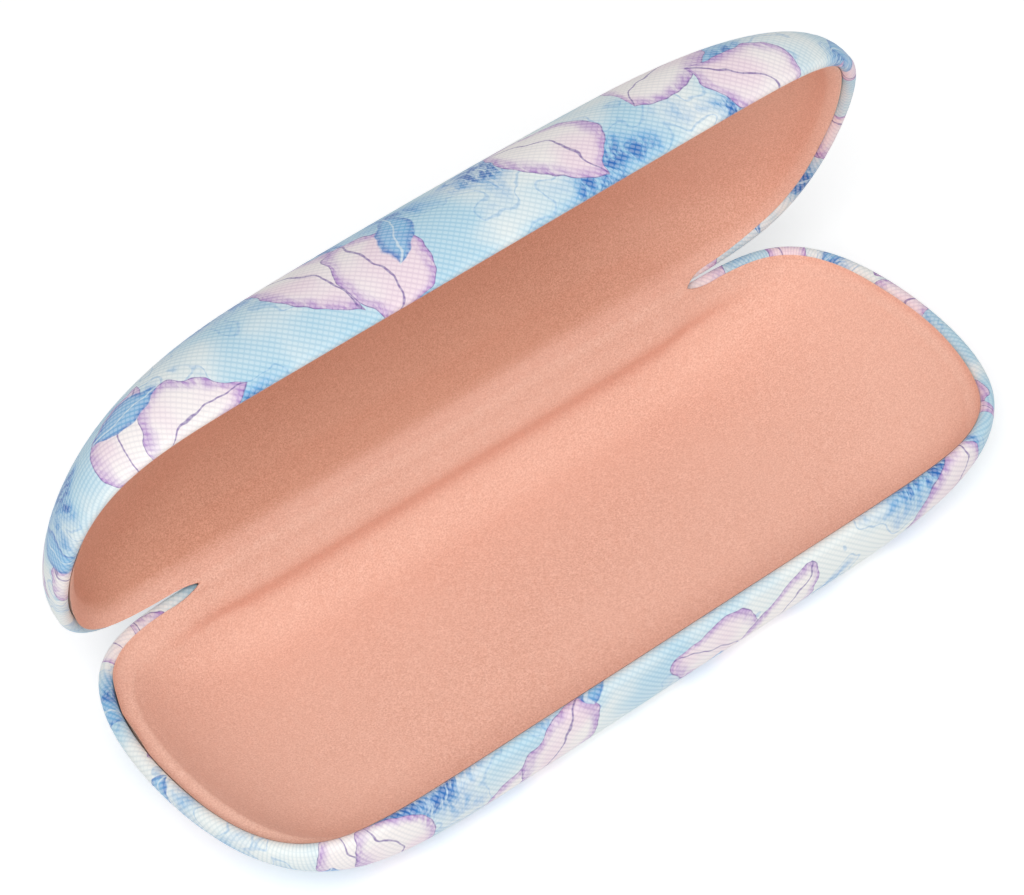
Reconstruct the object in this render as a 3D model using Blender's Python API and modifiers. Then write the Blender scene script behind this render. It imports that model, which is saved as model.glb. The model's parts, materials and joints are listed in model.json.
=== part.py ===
"""Hard clamshell eyeglasses case with a sprung knuckle hinge, standing open.

Two pressed steel halves are wrapped in a covering sheet that turns over the rim as a bead, and each
half holds a flocked tray. A knuckle hinge with two snap springs joins the halves, hidden between an
outer web and an inner lining strip. The origin is the middle of the sole, +Z is up, the hinge runs
along X at the back (+Y), and the front of the case faces -Y.
"""

import math
from dataclasses import dataclass

import bmesh
import bpy
import numpy as np

MM = 0.001

# Rim outline, on the centre line of the rim bead
HALF_LENGTH = 80.0 * MM
FRONT_REACH = 31.1 * MM
BACK_REACH = 31.1 * MM
WAIST_Y = 1.5 * MM
FRONT_END_ROUNDING = 10.8
FRONT_SIDE_ROUNDING = 2.1
BACK_END_ROUNDING = 13.2
BACK_SIDE_ROUNDING = 2.0

# Depth of each half, from the bead's centre to the outside of the cover
BASE_DEPTH = 16.6 * MM
LID_DEPTH = 20.2 * MM

# How far the lid stands open from closed
OPEN_ANGLE = math.radians(68.0)

# Sheets, from the outside in, and the gap between neighbours
COVER_THICKNESS = 0.7 * MM
STEEL_THICKNESS = 0.5 * MM
LINER_THICKNESS = 0.8 * MM
WEB_THICKNESS = 0.6 * MM
LAYER_GAP = 0.3 * MM
TURN_IN = 3.4 * MM

# Hinge: its slits, leaves, knuckles, pin, springs and rivets
SLIT_INSET = 28.0 * MM
HINGE_INSET = 5.0 * MM
STEEL_LEDGE = 1.0 * MM
LEAF_THICKNESS = 0.5 * MM
LEAF_REACH = 10.6 * MM
LEAF_LINER_GAP = 0.4 * MM
KNUCKLE_COUNT = 9
KNUCKLE_GAP = 0.3 * MM
KNUCKLE_ROLL = math.radians(270.0)
PIN_CLEARANCE = 0.07 * MM
PIN_END = 0.4 * MM
PIN_CHAMFER = 0.12 * MM
OPEN_BEAD_GAP = 0.25 * MM
SPRING_THICKNESS = 0.4 * MM
SPRING_WIDTH = 12.0 * MM
SPRING_SLOT_CLEARANCE = 0.15 * MM
RIVET_END_INSET = 9.0 * MM
RIVET_MIDDLE = 9.0 * MM
RIVET_SHANK_RADIUS = 0.8 * MM
RIVET_HEAD_RADIUS = 1.5 * MM
RIVET_HEAD_HEIGHT = 0.55 * MM
RIVET_FLARE = 0.35 * MM
RIVET_CLEARANCE = 0.1 * MM

# Facets
OUTLINE_POINTS = 36
OUTLINE_SAMPLES = 400
WALL_STEPS = 5
BEAD_STEPS = 5
ROLL_STEPS = 12
ROUND_SIDES = 12
PIN_SIDES = 16
FOLD_STEPS = 6

# Distances worked out from the sizes above, measured from the middle of the steel sheet
BEAD_RADIUS = STEEL_THICKNESS / 2 + LAYER_GAP + COVER_THICKNESS
LINER_FACE = BEAD_RADIUS + LAYER_GAP
LEAF_FACE = STEEL_THICKNESS / 2 + LAYER_GAP
KNUCKLE_RADIUS = LEAF_FACE + LEAF_THICKNESS
PIN_RADIUS = LEAF_FACE - PIN_CLEARANCE
SPRING_FACE = KNUCKLE_RADIUS + LAYER_GAP
STRIP_FACE = SPRING_FACE + SPRING_THICKNESS + LAYER_GAP

# Places worked out from the sizes above, measured from the hinge axis or along X
BEAD_DROP = (BEAD_RADIUS + OPEN_BEAD_GAP / 2) / math.cos(OPEN_ANGLE / 2)
AXIS_Z = BASE_DEPTH + BEAD_DROP
COVER_NOTCH = BEAD_DROP + TURN_IN + LAYER_GAP
STEEL_NOTCH = COVER_NOTCH - STEEL_LEDGE
LINER_NOTCH = LEAF_REACH + LEAF_LINER_GAP
RIVET_DROP = (STEEL_NOTCH + LEAF_REACH) / 2
SLIT_HALF = HALF_LENGTH - SLIT_INSET
HINGE_HALF = SLIT_HALF - HINGE_INSET
RIVET_END = HINGE_HALF - RIVET_END_INSET
SPRING_X = (RIVET_END + RIVET_MIDDLE) / 2


@dataclass
class Pressing:
    """The middle surface of one pressed half: a flat crown, a rounded shoulder and rising ends."""

    name: str
    depth: float
    flat_share: float
    shoulder: float
    end_rise: float
    rise_from: float
    faces_up: bool


BASE = Pressing("base", BASE_DEPTH - BEAD_RADIUS, 0.60, 2.4, 0.45, 36.0 * MM, False)
LID = Pressing("lid", LID_DEPTH - BEAD_RADIUS, 0.15, 2.42, 0.12, 0.0, True)


def clear_scene():
    for old in list(bpy.data.objects):
        bpy.data.objects.remove(old, do_unlink=True)


def new_collection(name):
    collection = bpy.data.collections.new(name)
    bpy.context.scene.collection.children.link(collection)
    return collection


def new_material(name, colour, roughness, metallic=0.0):
    material = bpy.data.materials.new(name)
    material.use_nodes = True
    shader = material.node_tree.nodes["Principled BSDF"]
    shader.inputs["Base Color"].default_value = (*colour, 1.0)
    shader.inputs["Roughness"].default_value = roughness
    shader.inputs["Metallic"].default_value = metallic
    return material


def outline_quadrant(end, side, end_rounding, side_rounding):
    """Points from the middle of a long side to the end of |x/end|^p + |y/side|^q = 1."""
    x_along = np.linspace(0.0, end * 0.5 ** (1 / end_rounding), OUTLINE_SAMPLES)
    y_along = side * (1 - (x_along / end) ** end_rounding) ** (1 / side_rounding)
    y_round = np.linspace(y_along[-1], 0.0, OUTLINE_SAMPLES)[1:]
    x_round = end * (1 - (y_round / side) ** side_rounding) ** (1 / end_rounding)
    return np.concatenate([x_along, x_round]), np.concatenate([y_along, y_round])


def rim_outline():
    """Rim points and outward normals, closer together where the outline turns."""
    front_x, front_y = outline_quadrant(
        HALF_LENGTH, FRONT_REACH + WAIST_Y, FRONT_END_ROUNDING, FRONT_SIDE_ROUNDING
    )
    back_x, back_y = outline_quadrant(
        HALF_LENGTH, BACK_REACH - WAIST_Y, BACK_END_ROUNDING, BACK_SIDE_ROUNDING
    )
    right_x = np.concatenate([front_x, back_x[-2::-1]])
    right_y = np.concatenate([-front_y, back_y[-2::-1]])
    x = np.concatenate([right_x, -right_x[-2:0:-1]])
    y = np.concatenate([right_y, right_y[-2:0:-1]]) + WAIST_Y

    step = np.stack([np.roll(x, -1) - x, np.roll(y, -1) - y])
    length = np.hypot(*step)
    heading = np.unwrap(np.arctan2(step[1], step[0]))
    turn = np.abs(np.diff(heading, append=heading[0] + 2 * math.pi))
    share = length / length.sum() + turn / turn.sum()
    travelled = np.concatenate([[0.0], np.cumsum(share)])
    wanted = np.linspace(0.0, travelled[-1], OUTLINE_POINTS, endpoint=False)

    along = heading - np.concatenate([[turn[-1]], turn[:-1]]) / 2
    points = [np.interp(wanted, travelled, np.append(values, values[0])) for values in (x, y)]
    bearing = np.interp(wanted, travelled, np.append(along, along[0] + 2 * math.pi))
    return np.stack(points, axis=1), np.stack([np.sin(bearing), -np.cos(bearing)], axis=1)


RIM, RIM_NORMAL = rim_outline()


def in_place(half, x, y, depth):
    """Object coordinates: the base in the case's own frame, the lid about the hinge axis, closed."""
    if half.faces_up:
        return np.stack([x, y - BACK_REACH, BEAD_DROP + depth], axis=1)
    return np.stack([x, y, BASE_DEPTH - depth], axis=1)


def end_lift(half, x):
    """Share of the full depth that is left at x, as the crown rises to the ends, and its slope."""
    span = HALF_LENGTH - half.rise_from
    run = np.maximum(0.0, np.abs(x) - half.rise_from) / span
    return 1 - half.end_rise * run**2, -2 * half.end_rise * run / span * np.sign(x)


def wall_ring(half, share, offset):
    """One ring of the pressing at a share of the rim's size, moved out along the surface normal."""
    centre = np.array([0.0, WAIST_Y])
    arm = RIM - centre
    spot = centre + arm * share
    bend = max(0.0, (share - half.flat_share) / (1 - half.flat_share))
    fall = (1 - bend**half.shoulder) ** (1 / half.shoulder)

    lift, lift_slope = end_lift(half, spot[:, 0])

    outward = bend ** (half.shoulder - 1) / (1 - half.flat_share)
    flat_normal = RIM_NORMAL * (outward / np.sum(RIM_NORMAL * arm, axis=1))[:, None]
    flat_normal[:, 0] -= fall**half.shoulder * lift_slope / lift
    down_normal = fall ** (half.shoulder - 1) / (half.depth * lift)
    size = np.sqrt(np.sum(flat_normal**2, axis=1) + down_normal**2)

    spot = spot + offset * flat_normal / size[:, None]
    depth = half.depth * fall * lift + offset * down_normal / size
    return in_place(half, spot[:, 0], spot[:, 1], depth)


def share_at(half, depth):
    """Share of the rim's size at which the pressing lies at a depth below the bead's centre."""
    bend = (1 - (depth / half.depth) ** half.shoulder) ** (1 / half.shoulder)
    return half.flat_share + (1 - half.flat_share) * bend


def ring_depths(half):
    """Depths of every layer's rings: round the shoulder, at the leaf's end, the turned-in edge and the rim."""
    angles = [math.pi / 2 * i / WALL_STEPS for i in range(WALL_STEPS)]
    depths = [half.depth * math.cos(angle) ** (2 / half.shoulder) for angle in angles]
    leaf_end = (LEAF_REACH - BEAD_DROP) / end_lift(half, HINGE_HALF)[0]
    return sorted([*depths, leaf_end, TURN_IN, 0.0], reverse=True)


def wall_shares(half):
    """Shares of the rim's size for every layer's rings, from inside the crown to the rim."""
    return [half.flat_share * 2 / 3, *(share_at(half, depth) for depth in ring_depths(half))]


def bead_ring(half, angle):
    """One ring of the rim bead: angle 0 is its outer side, 180 degrees its inner side."""
    spot = RIM + RIM_NORMAL * BEAD_RADIUS * math.cos(angle)
    rise = np.full(len(spot), -BEAD_RADIUS * math.sin(angle))
    return in_place(half, spot[:, 0], spot[:, 1], rise)


def add_object(name, mesh, collection, parent=None):
    item = bpy.data.objects.new(name, mesh)
    item.parent = parent
    collection.objects.link(item)
    return item


def finish_part(item, material, sharp_angle=math.radians(35.0)):
    item.data.materials.append(material)
    item.data.shade_smooth()
    item.data.set_sharp_from_angle(angle=sharp_angle)


def mesh_from(bm, name):
    mesh = bpy.data.meshes.new(name)
    bm.to_mesh(mesh)
    bm.free()
    return mesh


def bowl_mesh(name, half, rings):
    """An open bowl through rings of points, closed at the crown by a fan."""
    bm = bmesh.new()
    rows = [[bm.verts.new(point) for point in ring] for ring in rings]
    crown = bm.verts.new(np.mean(rings[0], axis=0))
    count = len(rows[0])
    for j in range(count):
        bm.faces.new((crown, rows[0][(j + 1) % count], rows[0][j]))
    for low, high in zip(rows, rows[1:]):
        for j in range(count):
            k = (j + 1) % count
            bm.faces.new((low[j], low[k], high[k], high[j]))
    if half.faces_up:
        bmesh.ops.reverse_faces(bm, faces=bm.faces)
    return mesh_from(bm, name)


def add_solidify(item, thickness, side):
    wall = item.modifiers.new("wall", "SOLIDIFY")
    wall.thickness = thickness
    wall.offset = side
    wall.use_even_offset = True


def add_cut(item, cutter):
    cut = item.modifiers.new("cut " + cutter.name, "BOOLEAN")
    cut.operation = "DIFFERENCE"
    cut.solver = "EXACT"
    cut.object = cutter


def add_boxes(name, boxes, parent, turn=0.0, place=(0.0, 0.0, 0.0)):
    """A wire cutter of one or more boxes, each given by its low and high corner."""
    bm = bmesh.new()
    for low, high in boxes:
        corners = bmesh.ops.create_cube(bm, size=1.0)["verts"]
        size = [b - a for a, b in zip(low, high)]
        middle = [(a + b) / 2 for a, b in zip(low, high)]
        bmesh.ops.scale(bm, vec=size, verts=corners)
        bmesh.ops.translate(bm, vec=middle, verts=corners)
    item = add_object(name, mesh_from(bm, name), cutters, parent)
    item.location = place
    item.rotation_euler.x = turn
    return hide_cutter(item)


def hide_cutter(item):
    item.hide_render = True
    item.display_type = "WIRE"
    return item


def notch_box(half, name, half_width, drop, reach):
    """A cutter that lowers the back rim between the slits to a drop below the hinge axis."""
    over = BEAD_RADIUS
    if half.faces_up:
        low = (-half_width, -reach, -over)
        high = (half_width, reach, drop)
    else:
        low = (-half_width, BACK_REACH - reach, AXIS_Z - drop)
        high = (half_width, BACK_REACH + reach, AXIS_Z + over)
    return add_boxes(f"{half.name}_{name}", [(low, high)], parent_of[half.name])


def wall_point(half, drop, offset):
    """Back wall at the hinge's ends, at an offset inwards: distance in from the axis, drop and tilt."""
    full_depth = half.depth * end_lift(half, HINGE_HALF)[0]
    fall = max(0.0, drop - BEAD_DROP) / full_depth
    bend = (1 - fall**half.shoulder) ** (1 / half.shoulder)
    inset = (BACK_REACH - WAIST_Y) * (1 - half.flat_share) * (1 - bend)
    across = bend ** (half.shoulder - 1) / ((1 - half.flat_share) * (BACK_REACH - WAIST_Y))
    down = fall ** (half.shoulder - 1) / full_depth
    tilt = math.atan2(down, across)
    return inset + offset * math.cos(tilt), drop - offset * math.sin(tilt), tilt


def leaf_place(half, inset, drop):
    """Object coordinates, as Y and Z, of a point given by its inset and drop from the axis."""
    if half.faces_up:
        return -inset, drop
    return BACK_REACH - inset, AXIS_Z - drop


def open_place(half, inset, drop):
    """Coordinates in the case's own frame, with the lid open, of a point of either half."""
    y, z = leaf_place(half, inset, drop)
    if not half.faces_up:
        return y, z
    turn_y = y * math.cos(OPEN_ANGLE) + z * math.sin(OPEN_ANGLE)
    turn_z = z * math.cos(OPEN_ANGLE) - y * math.sin(OPEN_ANGLE)
    return BACK_REACH + turn_y, AXIS_Z + turn_z


def strip_mesh(name, path, x_low, x_high):
    """A strip of sheet that follows a path in Y and Z and runs straight along X."""
    bm = bmesh.new()
    rows = [[bm.verts.new((x, y, z)) for y, z in path] for x in (x_low, x_high)]
    for i in range(len(path) - 1):
        bm.faces.new((rows[0][i], rows[1][i], rows[1][i + 1], rows[0][i + 1]))
    return mesh_from(bm, name)


def turned_mesh(name, profile):
    bm = bmesh.new()
    points = [bm.verts.new((radius, 0.0, height)) for radius, height in profile]
    for a, b in zip(points, points[1:]):
        bm.edges.new((a, b))
    return mesh_from(bm, name)


def add_turned(name, profile, collection, parent, place, turn):
    item = add_object(name, turned_mesh(name, profile), collection, parent)
    spin = item.modifiers.new("turn", "SCREW")
    spin.axis = "Z"
    spin.steps = ROUND_SIDES
    spin.render_steps = ROUND_SIDES
    spin.use_merge_vertices = True
    spin.merge_threshold = 0.01 * MM
    item.location = place
    item.rotation_euler.x = turn
    return item


def make_bowls(half):
    """The steel half, its cover with bead and turned-in edge, and the flocked tray."""
    parent = parent_of[half.name]
    shares = wall_shares(half)
    cover_rings = [wall_ring(half, share, BEAD_RADIUS) for share in shares]
    cover_rings += [bead_ring(half, math.pi * i / BEAD_STEPS) for i in range(1, BEAD_STEPS + 1)]
    cover_rings.append(wall_ring(half, share_at(half, TURN_IN), -BEAD_RADIUS))
    steel_rings = [wall_ring(half, share, STEEL_THICKNESS / 2) for share in shares]
    liner_rings = [wall_ring(half, share, -LINER_FACE) for share in shares]

    layers = (
        ("shell", steel_rings, STEEL_THICKNESS, SLIT_HALF - BEAD_RADIUS, STEEL_NOTCH),
        ("cover", cover_rings, COVER_THICKNESS, SLIT_HALF, COVER_NOTCH),
        ("liner", liner_rings, LINER_THICKNESS, SLIT_HALF + LAYER_GAP, LINER_NOTCH),
    )
    reach = LINER_NOTCH
    for layer, rings, thickness, notch_half, notch_drop in layers:
        name = f"{half.name}_{layer}"
        item = add_object(name, bowl_mesh(name, half, rings), case, parent)
        add_solidify(item, thickness, -1.0)
        add_cut(item, notch_box(half, f"{layer}_notch", notch_half, notch_drop, reach))
        finish_part(item, materials[layer])


def knuckle_gaps(half):
    """Boxes that clear the other leaf's knuckles, in the object's own coordinates."""
    pitch = 2 * HINGE_HALF / KNUCKLE_COUNT
    others = range(0 if half.faces_up else 1, KNUCKLE_COUNT, 2)
    clear = KNUCKLE_RADIUS + LAYER_GAP
    boxes = []
    for i in others:
        left = -HINGE_HALF + i * pitch - KNUCKLE_GAP / 2
        right = left + pitch + KNUCKLE_GAP
        y_mid, z_mid = leaf_place(half, 0.0, 0.0)
        boxes.append(((left, y_mid - clear, z_mid - clear), (right, y_mid + clear, z_mid + clear)))
    return boxes


def make_leaf(half):
    """One hinge leaf: a plate that follows the wall, rolled round the pin, cut into knuckles."""
    parent = parent_of[half.name]
    middle = LEAF_FACE + LEAF_THICKNESS / 2
    lift = end_lift(half, HINGE_HALF)[0]
    drops = [BEAD_DROP + depth * lift for depth in ring_depths(half)]
    path = [wall_point(half, drop, middle)[:2] for drop in drops if drop < LEAF_REACH + LAYER_GAP / 2]
    for i in range(ROLL_STEPS + 1):
        angle = KNUCKLE_ROLL * i / ROLL_STEPS
        path.append((middle * math.cos(angle), -middle * math.sin(angle)))
    name = f"{half.name}_hinge_leaf"
    places = [leaf_place(half, inset, drop) for inset, drop in path]
    ends = HINGE_HALF - KNUCKLE_GAP / 2
    item = add_object(name, strip_mesh(name, places, -ends, ends), case, parent)
    add_solidify(item, LEAF_THICKNESS, 0.0)
    add_cut(item, add_boxes(f"{half.name}_knuckle_gaps", knuckle_gaps(half), parent))
    add_cut(item, slot_cutter(half))
    finish_part(item, materials["hinge"])


def wall_frame(half, drop):
    """Place and turn about X of a frame on the steel's middle whose Z points into the case."""
    inset, level, tilt = wall_point(half, drop, 0.0)
    y, z = leaf_place(half, inset, level)
    turn = math.pi / 2 + (tilt if half.faces_up else -tilt)
    return (0.0, y, z), turn


def slot_cutter(half):
    """The two slots in a leaf that take the bent ends of the snap springs."""
    place, turn = wall_frame(half, RIVET_DROP)
    wide = SPRING_WIDTH / 2 + SPRING_SLOT_CLEARANCE
    tall = SPRING_THICKNESS / 2 + SPRING_SLOT_CLEARANCE
    deep = KNUCKLE_RADIUS + LAYER_GAP
    boxes = [((x - wide, -tall, 0.0), (x + wide, tall, deep)) for x in (-SPRING_X, SPRING_X)]
    return add_boxes(f"{half.name}_spring_slots", boxes, parent_of[half.name], turn, place)


def rivet_profile(clearance):
    """Radius and height of a flush-tailed rivet from its domed head down; height 0 is mid steel."""
    shank = RIVET_SHANK_RADIUS + clearance
    seat = KNUCKLE_RADIUS + RIVET_CLEARANCE
    tail = -STEEL_THICKNESS / 2
    return (
        (0.0, seat + RIVET_HEAD_HEIGHT),
        (RIVET_HEAD_RADIUS * 0.55, seat + RIVET_HEAD_HEIGHT * 0.85),
        (RIVET_HEAD_RADIUS * 0.9, seat + RIVET_HEAD_HEIGHT * 0.45),
        (RIVET_HEAD_RADIUS, seat),
        (shank, seat),
        (shank, 0.0),
        (shank + RIVET_FLARE, tail - clearance),
        (0.0, tail - clearance),
    )


def make_rivets(half):
    """Four rivets that hold a leaf to its steel half, and the holes that they pass through."""
    parent = parent_of[half.name]
    (_, y, z), turn = wall_frame(half, RIVET_DROP)
    steel = bpy.data.objects[f"{half.name}_shell"]
    leaf = bpy.data.objects[f"{half.name}_hinge_leaf"]
    for i, x in enumerate((-RIVET_END, -RIVET_MIDDLE, RIVET_MIDDLE, RIVET_END), start=1):
        name = f"{half.name}_rivet_{i}"
        rivet = add_turned(name, rivet_profile(0.0), case, parent, (x, y, z), turn)
        finish_part(rivet, materials["rivet"])
        hole = add_turned(name + "_hole", rivet_profile(RIVET_CLEARANCE), cutters, parent, (x, y, z), turn)
        hide_cutter(hole)
        add_cut(steel, hole)
        add_cut(leaf, hole)


def make_pin():
    bm = bmesh.new()
    length = 2 * (HINGE_HALF + PIN_END)
    bmesh.ops.create_cone(
        bm, cap_ends=True, segments=PIN_SIDES, radius1=PIN_RADIUS, radius2=PIN_RADIUS, depth=length
    )
    pin = add_object("hinge_pin", mesh_from(bm, "hinge_pin"), case)
    pin.location = (0.0, BACK_REACH, AXIS_Z)
    pin.rotation_euler.y = math.pi / 2
    ends = pin.modifiers.new("ends", "BEVEL")
    ends.width = PIN_CHAMFER
    ends.segments = 1
    ends.limit_method = "ANGLE"
    ends.angle_limit = math.radians(60.0)
    finish_part(pin, materials["hinge"])


def over_hinge(drops, offsets):
    """A path up the inside of the base's back wall, round the hinge and along the lid's back wall."""
    sides = [
        [open_place(half, *wall_point(half, drop, offset)[:2]) for drop, offset in zip(drops, offsets)]
        for half in (BASE, LID)
    ]
    radius = offsets[-1]
    arc = []
    for i in range(FOLD_STEPS + 1):
        angle = math.pi - OPEN_ANGLE * i / FOLD_STEPS
        arc.append((BACK_REACH + radius * math.cos(angle), AXIS_Z + radius * math.sin(angle)))
    return sides[0] + arc + sides[1][::-1]


def make_springs():
    """Two leaf springs bent over the hinge, their ends hooked through the leaves."""
    middle = SPRING_FACE + SPRING_THICKNESS / 2
    hooked = LEAF_FACE + LEAF_THICKNESS / 2
    drops = [RIVET_DROP, RIVET_DROP, (RIVET_DROP + BEAD_DROP) / 2, BEAD_DROP]
    offsets = [hooked, middle, middle, middle]
    path = over_hinge(drops, offsets)
    for side, x in (("left", -SPRING_X), ("right", SPRING_X)):
        name = f"snap_spring_{side}"
        strip = strip_mesh(name, path, x - SPRING_WIDTH / 2, x + SPRING_WIDTH / 2)
        spring = add_object(name, strip, case)
        add_solidify(spring, SPRING_THICKNESS, 0.0)
        finish_part(spring, materials["spring"])


def make_lining_strip():
    """The flocked strip that carries the lining over the hinge from tray to tray."""
    tray = LINER_FACE + LINER_THICKNESS / 2
    strip = STRIP_FACE + LINER_THICKNESS / 2
    tail = LINER_NOTCH - LAYER_GAP
    shoulder = RIVET_DROP + SPRING_THICKNESS / 2 + LAYER_GAP
    drops = [tail + (shoulder - tail) * i / FOLD_STEPS for i in range(FOLD_STEPS + 1)]
    ease = [(1 - math.cos(math.pi * i / FOLD_STEPS)) / 2 for i in range(FOLD_STEPS + 1)]
    offsets = [tray + (strip - tray) * share for share in ease]
    drops += [(shoulder + BEAD_DROP) / 2, BEAD_DROP]
    offsets += [strip, strip]
    mesh = strip_mesh("hinge_lining", over_hinge(drops, offsets), -SLIT_HALF, SLIT_HALF)
    lining = add_object("hinge_lining", mesh, case)
    add_solidify(lining, LINER_THICKNESS, 0.0)
    finish_part(lining, materials["liner"])


def make_outer_web():
    """The soft web behind the hinge: an arc that leaves both covers along their back walls."""
    drop = COVER_NOTCH - LAYER_GAP
    outside = -(BEAD_RADIUS - COVER_THICKNESS / 2)
    start, end = [np.array(open_place(h, *wall_point(h, drop, outside)[:2])) for h in (BASE, LID)]
    bend = np.array([BACK_REACH, AXIS_Z])
    path = []
    for i in range(2 * FOLD_STEPS + 1):
        t = i / (2 * FOLD_STEPS)
        path.append(tuple((1 - t) ** 2 * start + 2 * t * (1 - t) * bend + t**2 * end))
    half_width = SLIT_HALF - LAYER_GAP
    web = add_object("hinge_cover", strip_mesh("hinge_cover", path, -half_width, half_width), case)
    add_solidify(web, WEB_THICKNESS, 0.0)
    finish_part(web, materials["cover"])


clear_scene()
case = new_collection("eyeglasses_case")
cutters = new_collection("eyeglasses_case_cutters")
materials = {
    "cover": new_material("printed cover", (0.60, 0.76, 0.88), 0.5),
    "liner": new_material("flocked lining", (0.78, 0.38, 0.27), 0.9),
    "shell": new_material("pressed steel", (0.52, 0.53, 0.55), 0.4, 1.0),
    "hinge": new_material("hinge steel", (0.60, 0.60, 0.62), 0.35, 1.0),
    "spring": new_material("spring steel", (0.33, 0.34, 0.38), 0.3, 1.0),
    "rivet": new_material("rivet steel", (0.68, 0.67, 0.64), 0.35, 1.0),
}

lid_axis = add_object("lid_axis", None, case)
lid_axis.location = (0.0, BACK_REACH, AXIS_Z)
lid_axis.rotation_euler.x = -OPEN_ANGLE
parent_of = {"base": None, "lid": lid_axis}

for pressing in (BASE, LID):
    make_bowls(pressing)
    make_leaf(pressing)
    make_rivets(pressing)
make_pin()
make_springs()
make_lining_strip()
make_outer_web()
bpy.context.view_layer.update()
print(f"hinge axis at y {BACK_REACH:.5f} z {AXIS_Z:.5f}, bead radius {BEAD_RADIUS:.5f}")
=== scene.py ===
# %% [markdown]
# # A hard clamshell case for eyeglasses, standing open
#
# The real case is two pressed steel halves joined by a sprung hinge. Each half is wrapped in a printed,
# embossed sheet that turns over the rim as a thin bead, and each holds a flocked lining. The CAD model
# has the steel, the hinge and plain solids for the soft sheets. It is loaded as a fixed frame, and this
# lesson makes the sheets, their finishes, the light and the camera around it.

# %% Load the frame
import json
import math

import bmesh
import bpy
import numpy as np
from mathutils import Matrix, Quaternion, Vector

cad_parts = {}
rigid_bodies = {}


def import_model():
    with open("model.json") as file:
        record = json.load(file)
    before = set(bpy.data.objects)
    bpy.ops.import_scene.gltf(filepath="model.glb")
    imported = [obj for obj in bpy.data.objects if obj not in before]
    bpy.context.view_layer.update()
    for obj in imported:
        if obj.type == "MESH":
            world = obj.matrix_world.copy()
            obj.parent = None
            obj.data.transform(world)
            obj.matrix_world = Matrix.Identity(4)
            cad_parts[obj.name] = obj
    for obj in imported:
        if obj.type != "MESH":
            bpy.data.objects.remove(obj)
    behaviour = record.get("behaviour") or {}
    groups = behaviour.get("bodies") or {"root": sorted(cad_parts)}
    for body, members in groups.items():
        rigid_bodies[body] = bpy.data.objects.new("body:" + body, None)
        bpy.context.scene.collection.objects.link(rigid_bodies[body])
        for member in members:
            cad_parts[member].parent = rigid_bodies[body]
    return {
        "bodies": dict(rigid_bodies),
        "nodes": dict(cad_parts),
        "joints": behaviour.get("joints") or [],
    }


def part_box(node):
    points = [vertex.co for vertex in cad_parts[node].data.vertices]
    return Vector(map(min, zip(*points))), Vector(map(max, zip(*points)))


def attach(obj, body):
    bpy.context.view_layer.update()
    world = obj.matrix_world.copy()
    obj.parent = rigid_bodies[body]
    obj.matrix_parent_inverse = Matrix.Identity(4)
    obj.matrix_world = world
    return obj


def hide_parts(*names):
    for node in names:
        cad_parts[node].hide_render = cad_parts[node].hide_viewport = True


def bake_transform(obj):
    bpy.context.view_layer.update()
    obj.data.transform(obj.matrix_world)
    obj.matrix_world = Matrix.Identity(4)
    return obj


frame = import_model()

cad_objects = {*frame["nodes"].values(), *frame["bodies"].values()}
for stray in [item for item in bpy.data.objects if item not in cad_objects]:
    bpy.data.objects.remove(stray)
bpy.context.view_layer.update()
MM = 0.001

# %% [markdown]
# ## Camera
#
# The photograph looks down at the open case from its front left. A camera can be placed by eye, but a fit
# of both rims gives firmer numbers: a direction, a distance, a roll and a point on the rim plane to aim
# at. A long lens far away keeps the perspective as gentle as it is in a product photograph.

# %% Place the camera
VIEW_AZIMUTH = math.radians(-33.557)
VIEW_ELEVATION = math.radians(45.349)
VIEW_ROLL = math.radians(-6.121)
VIEW_DISTANCE = 726.33 * MM
VIEW_TARGET = Vector((6.96, 21.68, 16.6)) * MM
LENS = 150.76
CLIP_END = 20.0

toward_camera = Vector((
    math.sin(VIEW_AZIMUTH) * math.cos(VIEW_ELEVATION),
    -math.cos(VIEW_AZIMUTH) * math.cos(VIEW_ELEVATION),
    math.sin(VIEW_ELEVATION),
))
camera = bpy.data.objects.new("camera", bpy.data.cameras.new("camera"))
camera.data.lens = LENS
camera.data.clip_end = CLIP_END
camera.location = VIEW_TARGET + toward_camera * VIEW_DISTANCE
camera.rotation_mode = "QUATERNION"
camera.rotation_quaternion = (-toward_camera).to_track_quat("-Z", "Y") @ Quaternion((0, 0, 1), VIEW_ROLL)
bpy.context.scene.collection.objects.link(camera)
bpy.context.scene.camera = camera
print("camera at", [round(value, 3) for value in camera.location])

# %% [markdown]
# ## Sums on sockets
#
# Both the press that shapes the sheets and the finishes are node trees full of sums. Adding each Math
# node by hand hides the formula, so one small class wraps an output socket: sums on wires add the nodes
# for them, and one method makes any other node.

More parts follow.
